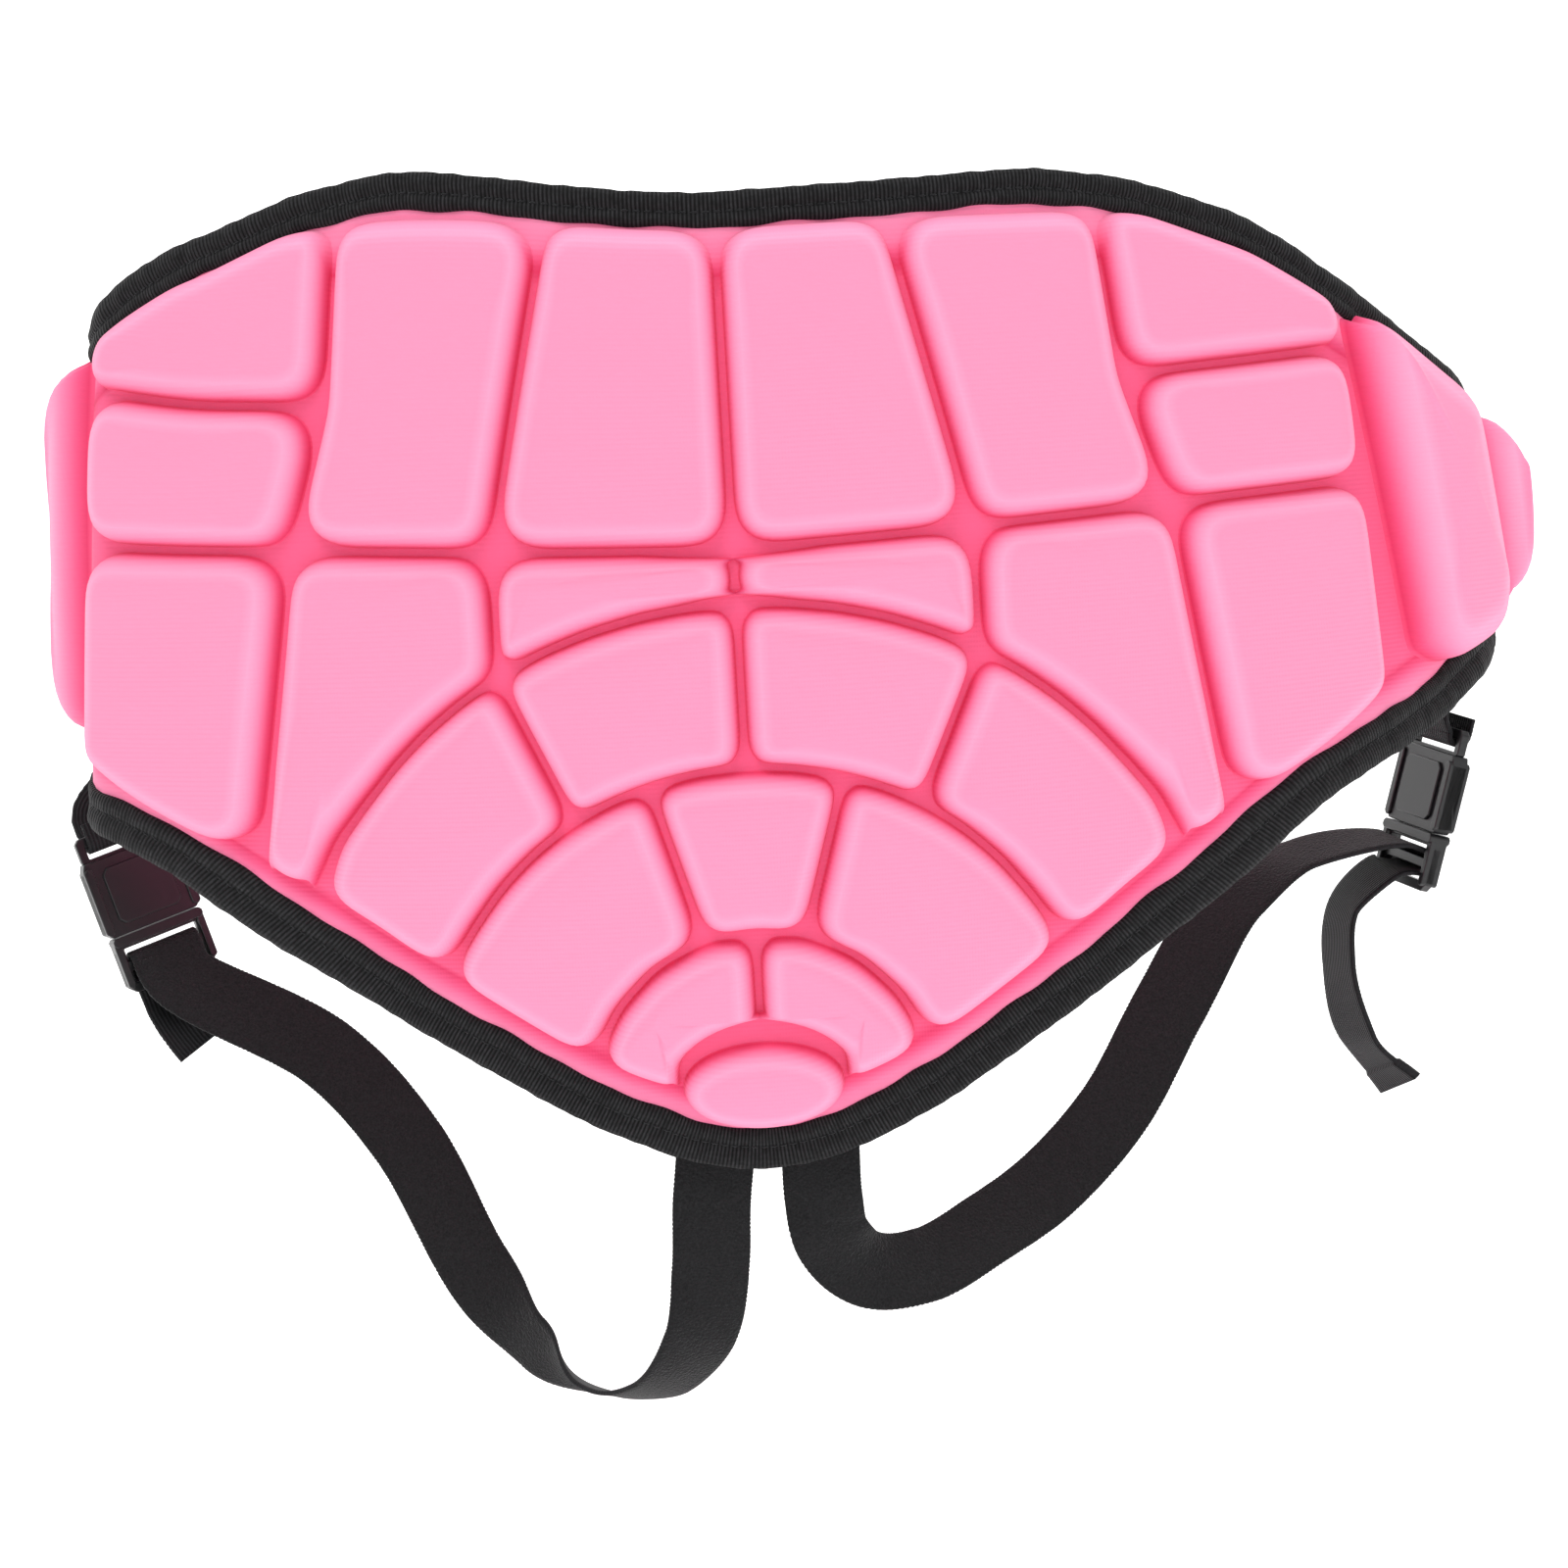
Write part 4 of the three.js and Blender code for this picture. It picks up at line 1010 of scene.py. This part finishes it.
def ribbon(name, stations, materials, hem=0):
    """A woven band with a toothed edge, one face ribbed and the other as its material says."""
    curve = curve_through([at for at, _ in stations])
    centres, tangents, acrosses = [], [], []
    for index in range(len(stations) - 1):
        length = np.linalg.norm(stations[index + 1][0] - stations[index][0])
        steps = max(2, int(round(length / RIBBON_STEP)))
        for step in range(steps):
            q = step / steps
            centre, along = curve(index + q)
            across = stations[index][1] + (stations[index + 1][1] - stations[index][1]) * smooth(q)
            across = across - along * (across @ along)
            centres.append(centre)
            tangents.append(along)
            acrosses.append(across / np.linalg.norm(across))
    centres, tangents, acrosses = (np.array(v) for v in (centres, tangents, acrosses))
    normals = np.cross(tangents, acrosses)
    at = np.concatenate([[0], np.cumsum(np.linalg.norm(np.diff(centres, axis=0), axis=1))])
    teeth = TOOTH * np.abs(np.sin(at * math.pi / TOOTH_PITCH))
    half = WEBBING_WIDTH / 2 - TOOTH_INSET + teeth
    thick = np.full(len(at), WEBBING / 2)
    thick[at > at[-1] - hem] *= HEM_GAIN
    shares = np.array([-1, -0.97, -0.8, -0.6, -0.3, 0, 0.3, 0.6, 0.8, 0.97, 1])
    levels = np.where(np.abs(shares) < 1, 1, SELVEDGE)
    profile = list(zip(shares, levels)) + list(zip(shares[::-1], -levels))
    points, flat = [], []
    for share, level in profile:
        points.append(centres + acrosses * (half * share)[:, None] + normals * (thick * level)[:, None])
        flat.append(np.stack([at, half * share], 1))
    points, flat = np.stack(points, 1), np.stack(flat, 1)
    rows, columns = points.shape[:2]
    faces = [tuple(f) for f in grid_faces(rows, columns, closed=True)[:, ::-1]]
    faces.append(tuple(range(columns)))
    faces.append(tuple((rows - 1) * columns + j for j in reversed(range(columns))))
    obj = make_object(name, points.reshape(-1, 3), faces, materials[0], flat.reshape(-1, 2))
    obj.data.materials.append(materials[1])
    rest = len(obj.data.polygons)
    column = np.arange(rest) % columns
    second = ((column >= len(shares)) & (np.arange(rest) < (rows - 1) * columns)).astype(np.int32)
    obj.data.polygons.foreach_set("material_index", second)
    return obj


def build_webbing(side, napped, ribbed):
    matrix = buckle_frame(side)
    row = BUCKLES[side]
    sign = -1 if side == "left" else 1
    flip = row["flip"]
    inside = -TAPE_GAP - CLEARANCE * 2 - TAPE_THICKNESS - WEBBING
    start = sign * STRAP_SPREAD
    low = float(bottom_edge(np.array(start)))
    clip_foot = SOCKET_LENGTH + CLEARANCE + CLIP_LENGTH
    clip_bar = clip_foot - BAR_WIDTH * 1.5 - SLOT_LENGTH
    stations = [panel_station(start, low + lead, inside) for lead in (STRAP_HOLD, STRAP_HOLD / 2, 0)]
    stations += [row_station(r) for r in STRAPS[side]]
    lead_rise, lead_face = row["lead"]
    exit_rise, exit_face = row["exit"]
    stations.append(frame_station(matrix, -clip_bar + lead_rise, lead_face, flip))
    stations += round_bar(matrix, -clip_bar, row["turn"], flip)
    stations.append(frame_station(matrix, -clip_bar + exit_rise, exit_face, flip))
    stations += [row_station(r) for r in TAILS[side]]
    hem = HEM_LENGTH if side == "right" else 0
    strap = ribbon(side + "_strap", stations, (napped, ribbed), hem)
    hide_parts(side + "_leg_strap")
    s = sign * TAB_REACH
    low = float(bottom_edge(np.array(float(s))))
    inside = -TAPE_GAP - CLEARANCE - TAPE_THICKNESS - WEBBING - TAB_INSET
    stations = [panel_station(s, low + lead, inside) for lead in (TAB_HOLD, TAB_HOLD / 2, -TAB_HOLD / 4)]
    stations.append(frame_station(matrix, BAR_WIDTH, -TURN_RADIUS - TAB_SLACK, flip))
    stations += round_bar(matrix, -BAR_WIDTH / 2, (180, 360), flip)
    stations += [frame_station(matrix, y, TURN_RADIUS, flip) for y in (TAB_TAIL / 2, TAB_TAIL)]
    tab = ribbon(side + "_tab", stations, (ribbed, ribbed))
    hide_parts(side + "_buckle_tab")


# Buckles
def plate(bm_points, bm_faces, outline, holes, low, high):
    """Adds a straight sided plate with rectangular holes to point and face lists."""
    loops = [outline] + [[(x0, y0), (x0, y1), (x1, y1), (x1, y0)] for x0, y0, x1, y1 in holes]
    flat = [p for loop in loops for p in loop]
    base = len(bm_points)
    for z in (low, high):
        bm_points.extend((x, y, z) for x, y in flat)
    count = len(flat)
    for a, b, c in tessellate_polygon([[Vector((x, y, 0)) for x, y in loop] for loop in loops]):
        pa, pb, pc = flat[a], flat[b], flat[c]
        turn = (pb[0] - pa[0]) * (pc[1] - pa[1]) - (pb[1] - pa[1]) * (pc[0] - pa[0])
        if turn < 0:
            b, c = c, b
        bm_faces.append((base + a, base + c, base + b))
        bm_faces.append((base + count + a, base + count + b, base + count + c))
    start = 0
    for loop in loops:
        for i in range(len(loop)):
            here, after = start + i, start + (i + 1) % len(loop)
            bm_faces.append((base + here, base + after, base + count + after, base + count + here))
        start += len(loop)


def box_outline(x0, y0, x1, y1, cut=0.0):
    """Counterclockwise rectangle with its corners cut."""
    points = [(x0 + cut, y0), (x1 - cut, y0), (x1, y0 + cut), (x1, y1 - cut)]
    return points + [(x1 - cut, y1), (x0 + cut, y1), (x0, y1 - cut), (x0, y0 + cut)]


def bevelled(name, side, pieces, material, radius):
    """Plates in the buckle's own frame, joined into one object with rounded edges."""
    points, faces = [], []
    for outline, holes, low, high in pieces:
        plate(points, faces, outline, holes, low, high)
    matrix = buckle_frame(side)
    world = [tuple(matrix @ Vector(p)) for p in points]
    obj = make_object(name, world, faces, material, smooth_faces=True)
    bevel = obj.modifiers.new("edges", "BEVEL")
    bevel.width = radius * MM
    bevel.segments = 3
    bevel.limit_method = "ANGLE"
    bevel.angle_limit = math.radians(35)
    bevel.harden_normals = True
    return obj


# Walls and rounding of the buckle halves
SLOT_WALL = 3
SHOULDER = 4
RAIL = 3.2
RAIL_CUT = 1
BODY_CUT = 2
BODY_STEP = 1
RECESS_MARGIN = 6
CLIP_INSET = 1
CLIP_RAIL = 2.6
SOCKET_ROUNDING = 0.7
CLIP_ROUNDING = 0.6


def build_buckle(side, material):
    half = BUCKLE_WIDTH / 2
    deep = BUCKLE_THICKNESS / 2
    thin = BAR_THICKNESS / 2
    slot_half = SLOT_WIDTH / 2
    neck = slot_half + SLOT_WALL
    slot_foot = -BAR_WIDTH - SLOT_LENGTH
    shoulder = slot_foot - SHOULDER
    foot = -SOCKET_LENGTH
    body = [
        (-half + BODY_CUT, foot),
        (half - BODY_CUT, foot),
        (half, foot + BODY_CUT),
        (half, shoulder),
        (neck, slot_foot - 1),
        (-neck, slot_foot - 1),
        (-half, shoulder),
        (-half, foot + BODY_CUT),
    ]
    loop = box_outline(-neck, slot_foot - 2, neck, 0, 1.5)
    side_edge = half - RECESS_MARGIN
    recess = box_outline(-side_edge, foot + 3.5, side_edge, shoulder - 0.5, BODY_CUT)
    left_rail = box_outline(-half, foot + 1, -half + RAIL, shoulder + 1, RAIL_CUT)
    right_rail = box_outline(half - RAIL, foot + 1, half, shoulder + 1, RAIL_CUT)
    socket = bevelled(
        side + "_socket",
        side,
        [
            (body, [], -deep + BODY_STEP, deep - BODY_STEP),
            (loop, [(-slot_half, slot_foot, slot_half, -BAR_WIDTH)], -thin, thin),
            (recess, [], -deep, deep),
            (left_rail, [], -deep, deep),
            (right_rail, [], -deep, deep),
        ],
        material,
        SOCKET_ROUNDING,
    )
    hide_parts(side + "_buckle_socket")
    top = foot - CLEARANCE
    end = top - CLIP_LENGTH
    half = half - CLIP_INSET
    low_foot = end + BAR_WIDTH
    low_top = low_foot + SLOT_LENGTH
    high_foot = low_top + BAR_WIDTH
    high_top = high_foot + SLOT_LENGTH
    slots = [(-slot_half, low_foot, slot_half, low_top), (-slot_half, high_foot, slot_half, high_top)]
    clip = bevelled(
        side + "_clip",
        side,
        [
            (box_outline(-half, end, half, high_top + 2.2, 2.5), slots, -thin, thin),
            (box_outline(-half, high_top + 1, half, top, 1), [], -deep, deep),
            (box_outline(-half, end + 2, -half + CLIP_RAIL, top - 1, 0.8), [], -deep + 0.8, deep - 0.8),
            (box_outline(half - CLIP_RAIL, end + 2, half, top - 1, 0.8), [], -deep + 0.8, deep - 0.8),
        ],
        material,
        CLIP_ROUNDING,
    )
    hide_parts(side + "_buckle_clip")


# Camera, light and backdrop
CAMERA_DISTANCE = 1100
CAMERA_PITCH = math.radians(6)
CAMERA_YAW = math.radians(-0.53)
CAMERA_ROLL = math.radians(3.29)
CAMERA_AIM = (11.8, 40, -76.6)
LENS = 79.6
FLOOR_DROP = 345


def build_camera():
    back = Vector((
        math.sin(CAMERA_YAW) * math.cos(CAMERA_PITCH),
        -math.cos(CAMERA_YAW) * math.cos(CAMERA_PITCH),
        math.sin(CAMERA_PITCH),
    ))
    right = Vector((math.cos(CAMERA_YAW), math.sin(CAMERA_YAW), 0))
    up = back.cross(right)
    turned_right = right * math.cos(CAMERA_ROLL) - up * math.sin(CAMERA_ROLL)
    turned_up = right * math.sin(CAMERA_ROLL) + up * math.cos(CAMERA_ROLL)
    camera = bpy.data.objects.new("camera", bpy.data.cameras.new("camera"))
    camera.data.lens = LENS
    camera.data.sensor_width = 36
    camera.data.clip_end = 50
    matrix = Matrix((turned_right, turned_up, back)).transposed().to_4x4()
    matrix.translation = (Vector(CAMERA_AIM) + back * CAMERA_DISTANCE) * MM
    camera.matrix_world = matrix
    bpy.context.scene.collection.objects.link(camera)
    bpy.context.scene.camera = camera


def area_light(name, place, size, power, target):
    light = bpy.data.lights.new(name, "AREA")
    light.shape = "RECTANGLE"
    light.size, light.size_y = size
    light.energy = power
    obj = bpy.data.objects.new(name, light)
    obj.location = place
    obj.rotation_euler = (Vector(target) - Vector(place)).to_track_quat("-Z", "Y").to_euler()
    bpy.context.scene.collection.objects.link(obj)


# Backdrop, in metres: depth of the floor, radius of its bend, height of its wall and half width
FLOOR_FRONT = -4.0
FLOOR_BACK = 1.4
BEND = 1.0
WALL_TOP = 5.0
BACKDROP_REACH = 6.0
PAPER_GLOW = 0.35
WORLD_LIGHT = 0.6
# Lamps: name, place in metres, size in metres, power in watts and what they point at
LAMPS = [
    ("key", (-0.5, -1.1, 1.6), (0.9, 0.9), 13, (0, 0, -0.05)),
    ("fill", (1.3, -1.2, 0.6), (1.2, 1.2), 4, (0, 0, -0.05)),
    ("back_wall", (0, 0.4, 1.9), (3.0, 1.2), 34, (0, 2.2, 0.2)),
]


def build_studio():
    glow = Surface("white_paper", (0.95, 0.95, 0.95), 0.9)
    glow.shader.inputs["Emission Color"].default_value = (1, 1, 1, 1)
    glow.shader.inputs["Emission Strength"].default_value = PAPER_GLOW
    paper = glow.material
    low = -FLOOR_DROP * MM
    rows = [(FLOOR_FRONT, low), (FLOOR_BACK, low)]
    for angle in np.radians(np.linspace(0, 90, 13))[1:]:
        rows.append((FLOOR_BACK + BEND * math.sin(angle), low + BEND * (1 - math.cos(angle))))
    rows.append((FLOOR_BACK + BEND, WALL_TOP))
    points = [(x, y, z) for y, z in rows for x in (-BACKDROP_REACH, BACKDROP_REACH)]
    faces = [(2 * i, 2 * i + 1, 2 * i + 3, 2 * i + 2) for i in range(len(rows) - 1)]
    mesh = bpy.data.meshes.new("backdrop")
    mesh.from_pydata(points, [], faces)
    mesh.polygons.foreach_set("use_smooth", [True] * len(faces))
    mesh.materials.append(paper)
    backdrop = bpy.data.objects.new("backdrop", mesh)
    bpy.context.scene.collection.objects.link(backdrop)
    world = bpy.data.worlds.new("studio")
    world.use_nodes = True
    world.node_tree.nodes["Background"].inputs["Color"].default_value = (1, 1, 1, 1)
    world.node_tree.nodes["Background"].inputs["Strength"].default_value = WORLD_LIGHT
    bpy.context.scene.world = world
    for row in LAMPS:
        area_light(*row)
    bpy.context.scene.view_settings.view_transform = "Standard"


foam = foam_skin()
tape = tape_cloth()
napped_cloth = napped_webbing()
ribbed_cloth = ribbed_webbing()
plastic_black = moulded_plastic()
build_shield(foam)
build_tape(tape, thread())
for side_name in ("left", "right"):
    build_webbing(side_name, napped_cloth, ribbed_cloth)
    build_buckle(side_name, plastic_black)
build_camera()
build_studio()

bpy.context.view_layer.update()
